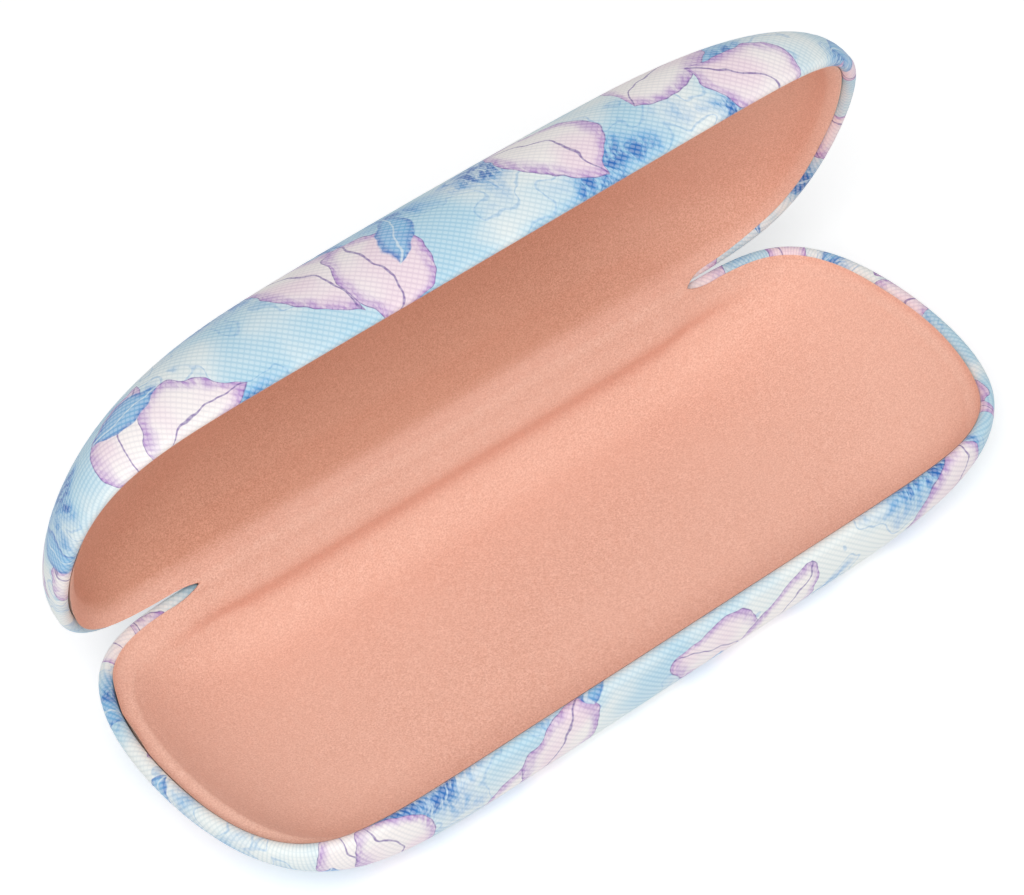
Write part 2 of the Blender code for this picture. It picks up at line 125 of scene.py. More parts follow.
# %% The wire class
class Wire:
    """An output socket of a node tree that can be used in sums."""

    def __init__(self, socket):
        self.socket = socket
        self.tree = socket.id_data

    @classmethod
    def node(cls, tree, kind, settings=None, values=None, output=0):
        """Any node: its type, its settings, which are set first, and its sockets' values or links."""
        made = tree.nodes.new(kind)
        for name, setting in (settings or {}).items():
            setattr(made, name, setting)
        for name, value in (values or {}).items():
            named = [socket for socket in made.inputs if socket.identifier == name]
            socket = named[0] if named else made.inputs[name]
            if isinstance(value, Wire):
                tree.links.new(value.socket, socket)
            else:
                socket.default_value = value
        if not len(made.outputs):
            return made
        found = [socket for socket in made.outputs if socket.identifier == output]
        return cls(found[0] if found else made.outputs[output])

    def math(self, operation, *others):
        """A Math node on this wire and the other terms."""
        terms = dict(enumerate((self, *others)))
        return Wire.node(self.tree, "ShaderNodeMath", {"operation": operation}, terms)

    def flipped(self, operation, first):
        """A Math node on a first term, which is a number, and this wire."""
        terms = {0: first, 1: self}
        return Wire.node(self.tree, "ShaderNodeMath", {"operation": operation}, terms)

    def __add__(self, other):
        return self.math("ADD", other)

    __radd__ = __add__

    def __sub__(self, other):
        return self.math("SUBTRACT", other)

    def __rsub__(self, first):
        return self.flipped("SUBTRACT", first)

    def __mul__(self, other):
        return self.math("MULTIPLY", other)

    __rmul__ = __mul__

    def __truediv__(self, other):
        return self.math("DIVIDE", other)

    def __rtruediv__(self, first):
        return self.flipped("DIVIDE", first)

    def __pow__(self, other):
        return self.math("POWER", other)

    def __abs__(self):
        return self.math("ABSOLUTE")

    def rise(self, low, high):
        """0 below low and 1 above high, with a smooth step between them."""
        settings = {"interpolation_type": "SMOOTHSTEP"}
        return Wire.node(self.tree, "ShaderNodeMapRange", settings, {0: self, 1: low, 2: high})

    def blend(self, first, second):
        """A colour: first where this wire is 0 and second where it is 1."""
        values = {"Factor_Float": self, "A_Color": first, "B_Color": second}
        return Wire.node(self.tree, "ShaderNodeMix", {"data_type": "RGBA"}, values, "Result_Color")

    def split(self):
        """The three numbers of a vector or a colour."""
        parts = Wire.node(self.tree, "ShaderNodeSeparateXYZ", None, {0: self}).socket.node
        return [Wire(socket) for socket in parts.outputs]


print("wires take + - * / ** and abs")

# %% [markdown]
# ## Sizes
#
# Everything is measured from the frame where the frame shows it: the hinge axis, the length of the case
# and the level of the rim. The numbers that shape the pressing can't be read off a box, so they are
# repeated from the CAD source: how square the outline is, how round the shoulder is, and how far the
# crown rises to the ends.

# %% Sizes of the case
BEAD_RADIUS = 1.25 * MM
COVER_THICKNESS = 0.7 * MM
OPEN_BEAD_GAP = 0.25 * MM
TURN_IN = 3.4 * MM
WAIST_Y = 1.5 * MM
OPEN_ANGLE = math.radians(68.0)
AXIS = Vector(frame["joints"][0]["pos_m"])

base_low, base_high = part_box("base_cover")
HALF_LENGTH = base_high[0] - BEAD_RADIUS
FRONT_REACH = -base_low[1] - BEAD_RADIUS
BACK_REACH = AXIS.y
BEAD_DROP = (BEAD_RADIUS + OPEN_BEAD_GAP / 2) / math.cos(OPEN_ANGLE / 2)
BEAD_LEVEL = AXIS.z - BEAD_DROP
SLIT_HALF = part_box("hinge_lining")[1][0]

BASE = {"name": "base", "depth": BEAD_LEVEL - BEAD_RADIUS, "flat": 0.60, "shoulder": 2.4, "rise": 0.45,
        "rise_from": 36.0 * MM, "side": -1.0, "angle": 0.0, "crown_rows": 9}
LID = {"name": "lid", "depth": 18.95 * MM, "flat": 0.15, "shoulder": 2.42, "rise": 0.12,
       "rise_from": 0.0, "side": 1.0, "angle": OPEN_ANGLE, "crown_rows": 3}
main_sizes = {"half length": HALF_LENGTH, "rim level": BEAD_LEVEL, "bead drop": BEAD_DROP}
print("in mm:", {name: round(size / MM, 2) for name, size in main_sizes.items()})

# %% [markdown]
# ## The rim outline
#
# Seen from above, the rim is a long rounded oblong: nearly straight sides, full ends. One curve does it,
# |x/a|^p + |y/b|^q = 1, with its own powers at the front and at the back. The columns of every sheet
# start on this line. They are spread by length and by turning, so that the corners get more of them, and
# two columns lie exactly on the ends of the hinge zone, which is a little wider for the lining than for
# the cover.

# %% Columns round the rim
FRONT_POWERS = (10.8, 2.1)
BACK_POWERS = (13.2, 2.0)
BODY_COLUMNS = 240
HINGE_PITCH = 1.0 * MM
LINING_PITCH = 0.5 * MM
TONGUE = 6.0 * MM
OUTLINE_SAMPLES = 3000
NEAR_END = 0.99


def rim_quadrant(side, powers):
    """Points from the middle of a long side round to the end of the case."""
    end_power, side_power = powers
    x_long = np.linspace(0.0, HALF_LENGTH * 0.5 ** (1 / end_power), OUTLINE_SAMPLES)
    y_long = side * (1 - (x_long / HALF_LENGTH) ** end_power) ** (1 / side_power)
    y_end = np.linspace(y_long[-1], 0.0, OUTLINE_SAMPLES)[1:]
    x_end = HALF_LENGTH * (1 - (y_end / side) ** side_power) ** (1 / end_power)
    return np.concatenate([x_long, x_end]), np.concatenate([y_long, y_end])


def rim_columns(hinge_half, pitch):
    """Points and outward normals of the columns, from the hinge zone's left end round the front and back."""
    front_x, front_y = rim_quadrant(FRONT_REACH + WAIST_Y, FRONT_POWERS)
    back_x, back_y = rim_quadrant(BACK_REACH - WAIST_Y, BACK_POWERS)
    right_x = np.concatenate([front_x, back_x[-2::-1]])
    right_y = np.concatenate([-front_y, back_y[-2::-1]])
    x = np.concatenate([right_x, -right_x[-2:0:-1]])
    y = np.concatenate([right_y, right_y[-2:0:-1]]) + WAIST_Y

    step_x, step_y = np.roll(x, -1) - x, np.roll(y, -1) - y
    length = np.hypot(step_x, step_y)
    heading = np.unwrap(np.arctan2(step_y, step_x))
    turn = np.abs(np.diff(heading, append=heading[0] + 2 * math.pi))
    travelled = np.concatenate([[0.0], np.cumsum(length / length.sum() + turn / turn.sum())])

    back = np.flatnonzero((y > WAIST_Y) & (np.abs(x) < HALF_LENGTH * NEAR_END))
    right_end, left_end = np.interp([-hinge_half, hinge_half], -x[back], travelled[back])
    body = np.linspace(left_end, travelled[-1] + right_end, BODY_COLUMNS, endpoint=False)
    hinge = np.linspace(right_end, left_end, round(2 * hinge_half / pitch), endpoint=False)
    wanted = np.concatenate([body % travelled[-1], hinge])

    along = heading - np.concatenate([[turn[-1]], turn[:-1]]) / 2
    points = np.stack([np.interp(wanted, travelled, np.append(line, line[0])) for line in (x, y)], axis=1)
    bearing = np.interp(wanted, travelled, np.append(along, along[0] + 2 * math.pi))
    normals = np.stack([np.sin(bearing), -np.cos(bearing)], axis=1)
    return {"points": points, "normals": normals, "count": len(points),
            "hinge": [*range(BODY_COLUMNS, len(points)), 0]}


COVER_RIM = rim_columns(SLIT_HALF, HINGE_PITCH)
LINING_RIM = rim_columns(SLIT_HALF + TONGUE, LINING_PITCH)
for rim in (COVER_RIM, LINING_RIM):
    hinge_ends = rim["points"][[0, BODY_COLUMNS], 0] / MM
    print("columns:", rim["count"], "hinge zone ends at x", hinge_ends.round(2))

# %% [markdown]
# ## The press
#
# A steel half is pressed from a flat blank: a flat crown, a rounded shoulder, walls that end upright at
# the rim, and a crown that rises a little towards the ends. Covers and linings all follow that one
# surface at their own distance. So the blank is made flat in Python, with what each point needs to know
# stored as attributes, and a Geometry Nodes tree presses it. Its inputs are the sizes of the die, so the
# base and the lid use the same tree.

# %% Build the press as a node tree
PRESS_SIZES = ("Half length", "Waist", "Depth", "Flat share", "Shoulder", "End rise", "Rise from",
               "Side", "Bead drop", "Axis Y", "Axis Z", "Open angle")
BLANK_FIELDS = ("share", "out", "up", "arm_x", "arm_y", "normal_x", "normal_y")


def build_press():
    """A tree that presses a flat blank onto the die of one half and puts it where the half stands."""
    tree = bpy.data.node_groups.new("press_sheet", "GeometryNodeTree")
    tree.interface.new_socket("Blank", in_out="INPUT", socket_type="NodeSocketGeometry")
    for name in PRESS_SIZES:
        tree.interface.new_socket(name, in_out="INPUT", socket_type="NodeSocketFloat")
    tree.interface.new_socket("Finish", in_out="INPUT", socket_type="NodeSocketMaterial")
    tree.interface.new_socket("Pressed", in_out="OUTPUT", socket_type="NodeSocketGeometry")
    entry = tree.nodes.new("NodeGroupInput")
    given = {socket.name: Wire(socket) for socket in entry.outputs if socket.name}
    half_length, waist, depth, flat, shoulder, rise, rise_from, side, drop, axis_y, axis_z, angle = (
        given[name] for name in PRESS_SIZES)
    share, out, up, arm_x, arm_y, normal_x, normal_y = (
        Wire.node(tree, "GeometryNodeInputNamedAttribute", {"data_type": "FLOAT"}, {"Name": name})
        for name in BLANK_FIELDS)

    # The die's surface, seen from the crown: how far each point has bent over and how deep it still is
    x, y = arm_x * share, waist + arm_y * share
    bend = ((share - flat) / (1 - flat)).math("MAXIMUM", 0.0)
    fall = (1 - bend**shoulder).math("MAXIMUM", 0.0) ** (1 / shoulder)
    run = (abs(x) - rise_from).math("MAXIMUM", 0.0) / (half_length - rise_from)
    lift = 1 - rise * run * run
    slope = -2.0 * rise * run / (half_length - rise_from) * x.math("SIGN")

    # Its normal, along which every layer is moved
    outward = bend ** (shoulder - 1) / ((1 - flat) * (normal_x * arm_x + normal_y * arm_y))
    across_x = normal_x * outward - fall**shoulder * slope / lift
    across_y = normal_y * outward
    down = fall ** (shoulder - 1) / (depth * lift)
    size = (across_x * across_x + across_y * across_y + down * down).math("SQRT")
    x = x + out * across_x / size
    y = y + out * across_y / size - axis_y
    z = side * (drop + depth * fall * lift + out * down / size - up)

    # Turned about the hinge axis, which leaves the base as it is and opens the lid
    turned_y = axis_y + y * angle.math("COSINE") + z * angle.math("SINE")
    turned_z = axis_z + z * angle.math("COSINE") - y * angle.math("SINE")
    place = Wire.node(tree, "ShaderNodeCombineXYZ", None, {"X": x, "Y": turned_y, "Z": turned_z})
    pressed = Wire.node(tree, "GeometryNodeSetPosition", None,
                        {"Geometry": given["Blank"], "Position": place})
    whole = Wire.node(tree, "GeometryNodeRealizeInstances", None, {"Geometry": pressed})
    finished = Wire.node(tree, "GeometryNodeSetMaterial", None,
                         {"Geometry": whole, "Material": given["Finish"]})
    Wire.node(tree, "NodeGroupOutput", None, {"Pressed": finished})
    return tree


press = build_press()
print("press:", len(press.nodes), "nodes")

# %% [markdown]
# ## Blanks
#
# A sheet has two faces and a thickness. Rows run from the crown out to the edge on the face that shows
# and back to the crown on the face that doesn't, so the pressed sheet comes out as one closed skin.
# Between the slits the rows stop short: that is the notch where the soft strips over the hinge take over.

# %% Rows from the crown to the rim
SHOULDER_ROWS = 28


def depth_share(half, depth):
    """Share of the rim's size at which the die lies at a depth below the rim."""
    bend = (1 - (depth / half["depth"]) ** half["shoulder"]) ** (1 / half["shoulder"])
    return half["flat"] + (1 - half["flat"]) * bend


def die_shares(half, notch_depth):
    """Shares for the rows from the crown to the rim, one of them at the notch."""
    crown = [half["flat"] * (i + 1) / half["crown_rows"] for i in range(half["crown_rows"])]
    angles = [math.pi / 2 * (i + 1) / SHOULDER_ROWS for i in range(SHOULDER_ROWS)]
    bends = [math.sin(angle) ** (2 / half["shoulder"]) for angle in angles]
    shares = crown + [half["flat"] + (1 - half["flat"]) * bend for bend in bends]
    notch = depth_share(half, notch_depth)
    near = min(range(len(shares)), key=lambda i: abs(shares[i] - notch))
    shares[near] = notch
    return shares, near


print(len(die_shares(BASE, 0.0)[0]), "rows from the base's crown to its rim")

# %% Make a blank
def mesh_of(name, points, faces):
    """A plain mesh from an array of points and tuples of point numbers."""
    mesh = bpy.data.meshes.new(name)
    mesh.from_pydata(points, [], [[int(v) for v in face] for face in faces])
    return mesh


def blank_faces(number, notch_row, crown_front, crown_back):
    """Faces between neighbouring rows and columns, with a fan on each crown and the notch's cut edges."""
    last, columns = len(number) - 1, number.shape[1]
    faces = []
    for j in range(columns):
        k = (j + 1) % columns
        faces.append((crown_front, number[0, k], number[0, j]))
        faces.append((crown_back, number[last, j], number[last, k]))
        for r in range(last):
            if j >= BODY_COLUMNS and notch_row <= r < last - notch_row:
                if r == notch_row:
                    faces.append((number[r, j], number[r, k], number[last - r, k], number[last - r, j]))
                continue
            faces.append((number[r, j], number[r, k], number[r + 1, k], number[r + 1, j]))
    for j in (0, BODY_COLUMNS):
        for r in range(notch_row, last // 2):
            faces.append((number[r, j], number[r + 1, j], number[last - r - 1, j], number[last - r, j]))
    return faces


def make_blank(name, rim, rows, notch_row):
    """A flat blank. A row is its share and, for the front and the back face, how far out and how far up."""
    columns, normals = rim["count"], rim["normals"]
    arm = rim["points"] - (0.0, WAIST_Y)
    last = 2 * len(rows) - 1
    skin = [(share, *front) for share, front, back in rows]
    skin += [(share, *back) for share, front, back in reversed(rows)]
    inside_notch = np.arange(columns) > BODY_COLUMNS

    number = np.full((last + 1, columns), -1)
    fields = {field: [] for field in BLANK_FIELDS}
    count = 0
    for r, (share, out, up) in enumerate(skin):
        kept = ~inside_notch if notch_row < r < last - notch_row else np.full(columns, True)
        number[r, kept] = count + np.arange(kept.sum())
        count += kept.sum()
        line = (*(np.broadcast_to(value, columns) for value in (share, out, up)),
                arm[:, 0], arm[:, 1], normals[:, 0], normals[:, 1])
        for field, values in zip(BLANK_FIELDS, line):
            fields[field].append(values[kept])
    for out in (skin[0][1], skin[-1][1]):
        for field, value in zip(BLANK_FIELDS, (0.0, np.mean(out), 0.0, HALF_LENGTH, 0.0, 1.0, 0.0)):
            fields[field].append(np.array([value]))

    fields = {field: np.concatenate(values) for field, values in fields.items()}
    places = np.stack([fields["arm_x"] * fields["share"], fields["arm_y"] * fields["share"],
                       0 * fields["share"]], axis=1)
    mesh = mesh_of(name, places, blank_faces(number, notch_row, count, count + 1))
    for field, values in fields.items():
        mesh.attributes.new(field, "FLOAT", "POINT").data.foreach_set("value", values.astype(np.float32))
    return mesh, number


print("a blank stores at each point:", ", ".join(BLANK_FIELDS))

# %% Press a blank
def press_blank(mesh, half, finish):
    """Runs the press on a blank and returns the plain pressed mesh."""
    blank = bpy.data.objects.new(mesh.name, mesh)
    bpy.context.scene.collection.objects.link(blank)
    modifier = blank.modifiers.new("press", "NODES")
    modifier.node_group = press
    sizes = (HALF_LENGTH, WAIST_Y, half["depth"], half["flat"], half["shoulder"], half["rise"],
             half["rise_from"], half["side"], BEAD_DROP, AXIS.y, AXIS.z, half["angle"])
    settings = {**dict(zip(PRESS_SIZES, sizes)), "Finish": finish}
    for socket in press.interface.items_tree:
        if socket.in_out == "INPUT" and socket.name in settings:
            modifier[socket.identifier] = settings[socket.name]
    depsgraph = bpy.context.evaluated_depsgraph_get()
    pressed = bpy.data.meshes.new_from_object(blank.evaluated_get(depsgraph))
    bpy.data.objects.remove(blank)
    for field in BLANK_FIELDS:
        pressed.attributes.remove(pressed.attributes[field])
    return pressed


def points_of(mesh):
    """A mesh's points as an array."""
    places = np.empty(len(mesh.vertices) * 3, np.float32)
    mesh.vertices.foreach_get("co", places)
    return places.reshape(-1, 3).astype(float)


print("the press takes", len(PRESS_SIZES), "sizes and a finish")

# %% Add a finished piece
SHARP_ANGLE = math.radians(50.0)


def add_piece(name, mesh):
    """A finished piece: faces turned outwards, smooth apart from its cut edges, at the origin."""
    solid = bmesh.new()
    solid.from_mesh(mesh)
    bmesh.ops.recalc_face_normals(solid, faces=solid.faces)
    if solid.calc_volume(signed=True) < 0:
        bmesh.ops.reverse_faces(solid, faces=solid.faces)
    open_edges = sum(1 for edge in solid.edges if len(edge.link_faces) != 2)
    solid.to_mesh(mesh)
    solid.free()
    mesh.shade_smooth()
    mesh.set_sharp_from_angle(angle=SHARP_ANGLE)
    mesh.name = name
    piece = bpy.data.objects.new(name, mesh)
    bpy.context.scene.collection.objects.link(piece)
    print(f"{name}: {len(mesh.polygons)} faces, {open_edges} edges that aren't closed")
    return piece


print("edges over", round(math.degrees(SHARP_ANGLE)), "degrees stay sharp")

# %% [markdown]
# ## The finish of the cover
#
# The cover is a thin coated sheet, embossed with a fine slanting cross-hatch and printed in watercolour
# blues with pale pink and lilac. An image would be the quick way, but it shows its pixels up close. So
# the print is drawn by sums: washes from noise, and leaf-shaped dabs that turn at random in the cells of
# a Voronoi texture, with the darker rim that watercolour leaves where it dries. It is laid out on the
# sheet's own UV map, in metres, so that it wraps over the bead as a real sheet does and bunches up at the
# corners.

# %% Paint and finishes
def paint(red, green, blue):
    """A colour written as it looks on screen, turned by the sRGB curve into the values that nodes use."""
    def linear(value):
        value /= 255
        return value / 12.92 if value <= 0.04045 else ((value + 0.055) / 1.055) ** 2.4

    return (*(linear(value) for value in (red, green, blue)), 1.0)


def new_finish(name):
    """A material with an empty node tree, and the tree."""
    material = bpy.data.materials.new(name)
    material.use_nodes = True
    material.node_tree.nodes.clear()
    return material, material.node_tree


def finish_shader(tree, values):
    """The shader at the end of a finish. Constants are set on its own sockets."""
    shader = Wire.node(tree, "ShaderNodeBsdfPrincipled", None, values)
    Wire.node(tree, "ShaderNodeOutputMaterial", None, {"Surface": shader})


def bump_normal(tree, height, strength, distance):
    """A normal that follows a height, for a shader's Normal socket."""
    values = {"Height": height, "Strength": strength, "Distance": distance}
    return Wire.node(tree, "ShaderNodeBump", None, values, "Normal")


def object_place(tree):
    """The piece's own coordinates, in metres."""
    return Wire.node(tree, "ShaderNodeTexCoord", None, None, "Object")


print("mid grey is", round(paint(128, 128, 128)[0], 3), "in a node's values")

# %% Noise and dabs
DAB_SCATTER = 0.35
DAB_BEND, DAB_SHIFT = 0.35, 0.15
DAB_STEP, DAB_LEFT_OUT = 0.01, 10.0


def noise(tree, where, size, detail=3.0, roughness=0.5, dimensions="3D", output="Fac"):
    """Noise whose features are about one size across, in metres."""
    values = {"Vector": where, "Scale": 1 / size, "Detail": detail, "Roughness": roughness}
    return Wire.node(tree, "ShaderNodeTexNoise", {"noise_dimensions": dimensions}, values, output)


def moved(tree, where, by):
    """A place shifted by a vector."""
    return Wire.node(tree, "ShaderNodeVectorMath", {"operation": "ADD"}, {0: where, 1: by})


def stretched(tree, where, by):
    """A place with each of its coordinates times a factor."""
    return Wire.node(tree, "ShaderNodeVectorMath", {"operation": "MULTIPLY"}, {0: where, 1: by})


def leaf_dabs(tree, where, cell, length, width, kept):
    """Leaf-shaped dabs, one to a cell: how far inside one a point is, and how far off its middle line."""
    cells = Wire.node(tree, "ShaderNodeTexVoronoi", {"voronoi_dimensions": "2D"},
                      {"Vector": where, "Scale": 1 / cell, "Randomness": DAB_SCATTER}).socket.node
    centre, tint = Wire(cells.outputs["Position"]), Wire(cells.outputs["Color"])
    local = Wire.node(tree, "ShaderNodeVectorMath", {"operation": "SUBTRACT"}, {0: where, 1: centre})
    x, y, _ = local.split()
    turn, luck, _ = tint.split()
    angle = turn * (2 * math.pi)
    cosine, sine = angle.math("COSINE"), angle.math("SINE")
    along = (x * cosine + y * sine) / (length / 2)
    across = (y * cosine - x * sine) / (width / 2) + DAB_BEND * along * along - DAB_SHIFT
    inside = 1 - along * along - abs(across)
    return inside - luck.rise(kept, kept + DAB_STEP) * DAB_LEFT_OUT, abs(across)


print("dabs are scattered by", DAB_SCATTER, "of a cell")

# %% Washes of the print
WOBBLE_SIZE, WOBBLE_REACH = 9 * MM, 2.5 * MM
WASH_SIZE, POOL_SIZE, BRUSH_SIZE = 24 * MM, 17 * MM, 1.1 * MM
BRUSH_STRETCH = (1.0, 0.3, 1.0)
POOL_PLACE = (0.31, 0.17, 0.0)


def wobbled(tree, sheet):
    """Places on the sheet, shifted a little by noise, so that no edge of the print is straight."""
    wobble = noise(tree, sheet, WOBBLE_SIZE, 2.0, 0.5, "2D", "Color")
    reach = (2 * WOBBLE_REACH, 2 * WOBBLE_REACH, 0.0)
    values = {0: wobble, 1: reach, 2: (-WOBBLE_REACH, -WOBBLE_REACH, 0.0)}
    return moved(tree, sheet, Wire.node(tree, "ShaderNodeVectorMath", {"operation": "MULTIPLY_ADD"}, values))


def add_washes(tree, painted, wash, brush):
    """A pale ground with pools of blue that deepen inwards and dry with a darker rim."""
    pool = noise(tree, moved(tree, painted, POOL_PLACE), POOL_SIZE, 2.5, 0.5, "2D")
    streaks = 0.35 + 0.65 * brush.rise(0.30, 0.65)
    colour = wash.rise(0.36, 0.62).blend(paint(238, 243, 240), paint(178, 216, 234))
    colour = (pool.rise(0.50, 0.66) * streaks).blend(colour, paint(92, 166, 220))
    colour = (pool.rise(0.60, 0.70) * brush.rise(0.36, 0.62)).blend(colour, paint(34, 108, 186))
    dried = 1 - abs(pool - 0.515).rise(0.002, 0.012)
    return (0.45 * dried).blend(colour, paint(112, 172, 218))


print("washes about", round(WASH_SIZE / MM), "mm across, pools about", round(POOL_SIZE / MM), "mm")

# %% Dabs of the print
BROAD_PLACES = ((0.0, 0.0, 0.0), (0.143, 0.377, 0.0))
BROAD_DAB = {"cell": 38 * MM, "length": 24 * MM, "width": 16 * MM, "kept": 0.80}
NARROW_PLACE = (0.019, 0.412, 0.0)
NARROW_DAB = {"cell": 24 * MM, "length": 15 * MM, "width": 7 * MM, "kept": 0.42}


def add_broad_dabs(tree, painted, colour, wash, brush):
    """Broad pale dabs with a lilac rim, a thin dark outline and a middle line."""
    for place in BROAD_PLACES:
        inside, middle = leaf_dabs(tree, moved(tree, painted, place), **BROAD_DAB)
        body, rim = inside.rise(0.0, 0.03), 1 - inside.rise(0.02, 0.45)
        pale = wash.rise(0.40, 0.62).blend(paint(250, 243, 240), paint(244, 220, 230))
        pale = (rim * (0.30 + 0.70 * brush.rise(0.25, 0.65))).blend(pale, paint(180, 138, 202))
        line = (1 - inside.rise(0.02, 0.05)).math("MAXIMUM", 0.8 * (1 - middle.rise(0.012, 0.035)))
        colour = body.blend(colour, line.blend(pale, paint(112, 84, 158)))
    return colour


def add_narrow_dabs(tree, painted, colour, brush):
    """Narrow blue dabs with a darker rim and a pale middle line."""
    inside, middle = leaf_dabs(tree, moved(tree, painted, NARROW_PLACE), **NARROW_DAB)
    body, rim = inside.rise(0.0, 0.10), 1 - inside.rise(0.05, 0.45)
    deep = (rim * brush.rise(0.20, 0.60)).blend(paint(126, 186, 228), paint(42, 116, 194))
    deep = (0.8 * (1 - middle.rise(0.02, 0.08))).blend(deep, paint(214, 233, 242))
    return (body * 0.92).blend(colour, deep)


print("dabs in mm:", [round(dab["length"] / MM) for dab in (BROAD_DAB, NARROW_DAB)], "long")

# %% The printed cover
WEAVE_PITCH = 0.90 * MM
WEAVE_ANGLE = math.radians(46.0)
WEAVE_BUMP, WEAVE_HEIGHT = 0.25, 0.07 * MM
FIRST_THREAD_POWER = 0.35


def weave(sheet):
    """The embossed cross-hatch: 0 in its grooves and 1 on what stands between them."""
    u, v, _ = sheet.split()
    cosine, sine = math.cos(WEAVE_ANGLE), math.sin(WEAVE_ANGLE)
    first = ((u * cosine + v * sine) * (math.pi / WEAVE_PITCH)).math("SINE")
    second = ((v * cosine - u * sine) * (math.pi / WEAVE_PITCH)).math("SINE")
    return (abs(first) ** FIRST_THREAD_POWER * abs(second)).rise(0.05, 0.85)


def make_cover_finish():
    """The print on the embossed sheet, painted darker as shade in the grooves, and paler as a painted
    highlight and smoother where the embossing stands up.
    """
    material, tree = new_finish("printed_cover")
    sheet = Wire.node(tree, "ShaderNodeUVMap", {"uv_map": "sheet"})
    painted = wobbled(tree, sheet)
    wash = noise(tree, painted, WASH_SIZE, 2.0, 0.5, "2D")
    brush = noise(tree, stretched(tree, painted, BRUSH_STRETCH), BRUSH_SIZE, 4.0, 0.65, "2D")
    colour = add_washes(tree, painted, wash, brush)
    colour = add_broad_dabs(tree, painted, colour, wash, brush)
    colour = add_narrow_dabs(tree, painted, colour, brush)

    ground = weave(sheet)
    # Painted shade in the weave's grooves, and a painted highlight where the embossing stands up
    shade = {"Factor_Float": 1.0, "A_Color": colour, "B_Color": paint(241, 244, 247)}
    settings = {"data_type": "RGBA", "blend_type": "MULTIPLY"}
    shaded_in_grooves = Wire.node(tree, "ShaderNodeMix", settings, shade, "Result_Color")
    lit = (0.20 * ground).blend(colour, paint(252, 252, 250))
    finish_shader(tree, {"Base Color": ground.blend(shaded_in_grooves, lit), "Roughness": 0.62 - 0.14 * ground,
                         "Normal": bump_normal(tree, ground, WEAVE_BUMP, WEAVE_HEIGHT),
                         "Specular IOR Level": 0.35, "Sheen Weight": 0.1})
    return material


cover_finish = make_cover_finish()
print("cover finish:", len(cover_finish.node_tree.nodes), "nodes")

# %% [markdown]
# ## The two covers
#
# Each cover is one sheet drawn over the steel, rolled over the rim as a bead of about 1.25 mm radius and
# turned in behind it. The rows of its blank follow that path. The sheet's UV map is that path unrolled:
# the place in plan, pushed out along the rim's normal by the length that the wall, the bead and the
# turned-in edge take up.

# %% Rows of a cover
BEAD_ROWS = 14
TURN_ROWS = 3
WEB_DEPTH = 5.2 * MM


def cover_rows(half):
    """The cover's path from the crown over the bead to the turned-in edge, as front and back faces."""
    shares, notch = die_shares(half, WEB_DEPTH)
    rim_row = len(shares) - 1
    rolls = [0.0] * len(shares)
    rolls += [math.pi * (i + 1) / BEAD_ROWS for i in range(BEAD_ROWS)]
    rolls += [math.pi] * TURN_ROWS
    shares += [1.0] * BEAD_ROWS
    shares += [depth_share(half, TURN_IN * (i + 1) / TURN_ROWS) for i in range(TURN_ROWS)]
    inner = BEAD_RADIUS - COVER_THICKNESS
    rows = [(share, (BEAD_RADIUS * math.cos(roll), BEAD_RADIUS * math.sin(roll)),
             (inner * math.cos(roll), inner * math.sin(roll))) for share, roll in zip(shares, rolls)]
    return rows, notch, rim_row


print(len(cover_rows(BASE)[0]), "rows in the base's cover, from its crown to its turned-in edge")

# %% Unroll a sheet
def about_hinge(points, angle):
    """Points turned about the hinge axis. The lid opens by a positive angle."""
    y, z = points[..., 1] - AXIS.y, points[..., 2] - AXIS.z
    cosine, sine = math.cos(angle), math.sin(angle)
    return np.stack([points[..., 0], AXIS.y + y * cosine + z * sine, AXIS.z + z * cosine - y * sine], axis=-1)


def unrolled(half, rim, points, number, rim_row):
    """Places on the flat sheet, in metres, of every point of a pressed one, as if the case were shut."""
    rows = len(number) // 2
    uv = np.zeros((len(points), 2))
    flat = about_hinge(points, -half["angle"])
    uv[-2:] = flat[-2:, :2]
    spare = np.zeros(rim["count"])
    normals = rim["normals"]
    for r in range(rows):
        cells = np.flatnonzero(number[r] >= 0)
        here = flat[number[r, cells]]
        before = flat[number[r - 1, cells]] if r else np.repeat(flat[-2:-1], len(cells), axis=0)
        path = np.linalg.norm(here - before, axis=1)
        if r <= rim_row:
            spare[cells] += path - np.linalg.norm((here - before)[:, :2], axis=1)
            spot = here[:, :2] + normals[cells] * spare[cells, None]
        else:
            spot = uv[number[r - 1, cells]] + normals[cells] * path[:, None]
        uv[number[r, cells]] = spot
        uv[number[len(number) - 1 - r, cells]] = spot
    return uv


print("hinge axis at y", round(AXIS.y / MM, 2), "and z", round(AXIS.z / MM, 2), "mm")

# %% Press the covers
def press_cover(half):
    """The pressed cover of one half: its mesh, points, rows of point numbers and places on the sheet."""
    rows, notch, rim_row = cover_rows(half)
    blank, number = make_blank("cover_blank", COVER_RIM, rows, notch)
    mesh = press_blank(blank, half, cover_finish)
    points = points_of(mesh)
    return {"mesh": mesh, "points": points, "number": number, "notch": notch, "hinge": COVER_RIM["hinge"],
            "uv": unrolled(half, COVER_RIM, points, number, rim_row)}


covers = {half["name"]: press_cover(half) for half in (BASE, LID)}
for name, cover in covers.items():
    low, high = cover["points"].min(axis=0), cover["points"].max(axis=0)
    node_low, node_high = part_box(f"{name}_cover")
    off = max(np.abs(low - np.array(node_low)).max(), np.abs(high - np.array(node_high)).max())
    print(f"{name} cover: its box is within {off / MM:.2f} mm of the CAD node's")

# %% [markdown]
# ## The web behind the hinge
#
# Between the slits the cover runs on from the base to the lid as a soft web. It has no steel behind it
# and bends as the lid moves. It leaves both covers along their own walls, so a smooth curve whose middle
# handle lies where the two walls would meet does it. Its end rows are the covers' own notch rows, with
# the same UV, so no seam shows.

# %% Draw the web
WEB_ROWS = 20


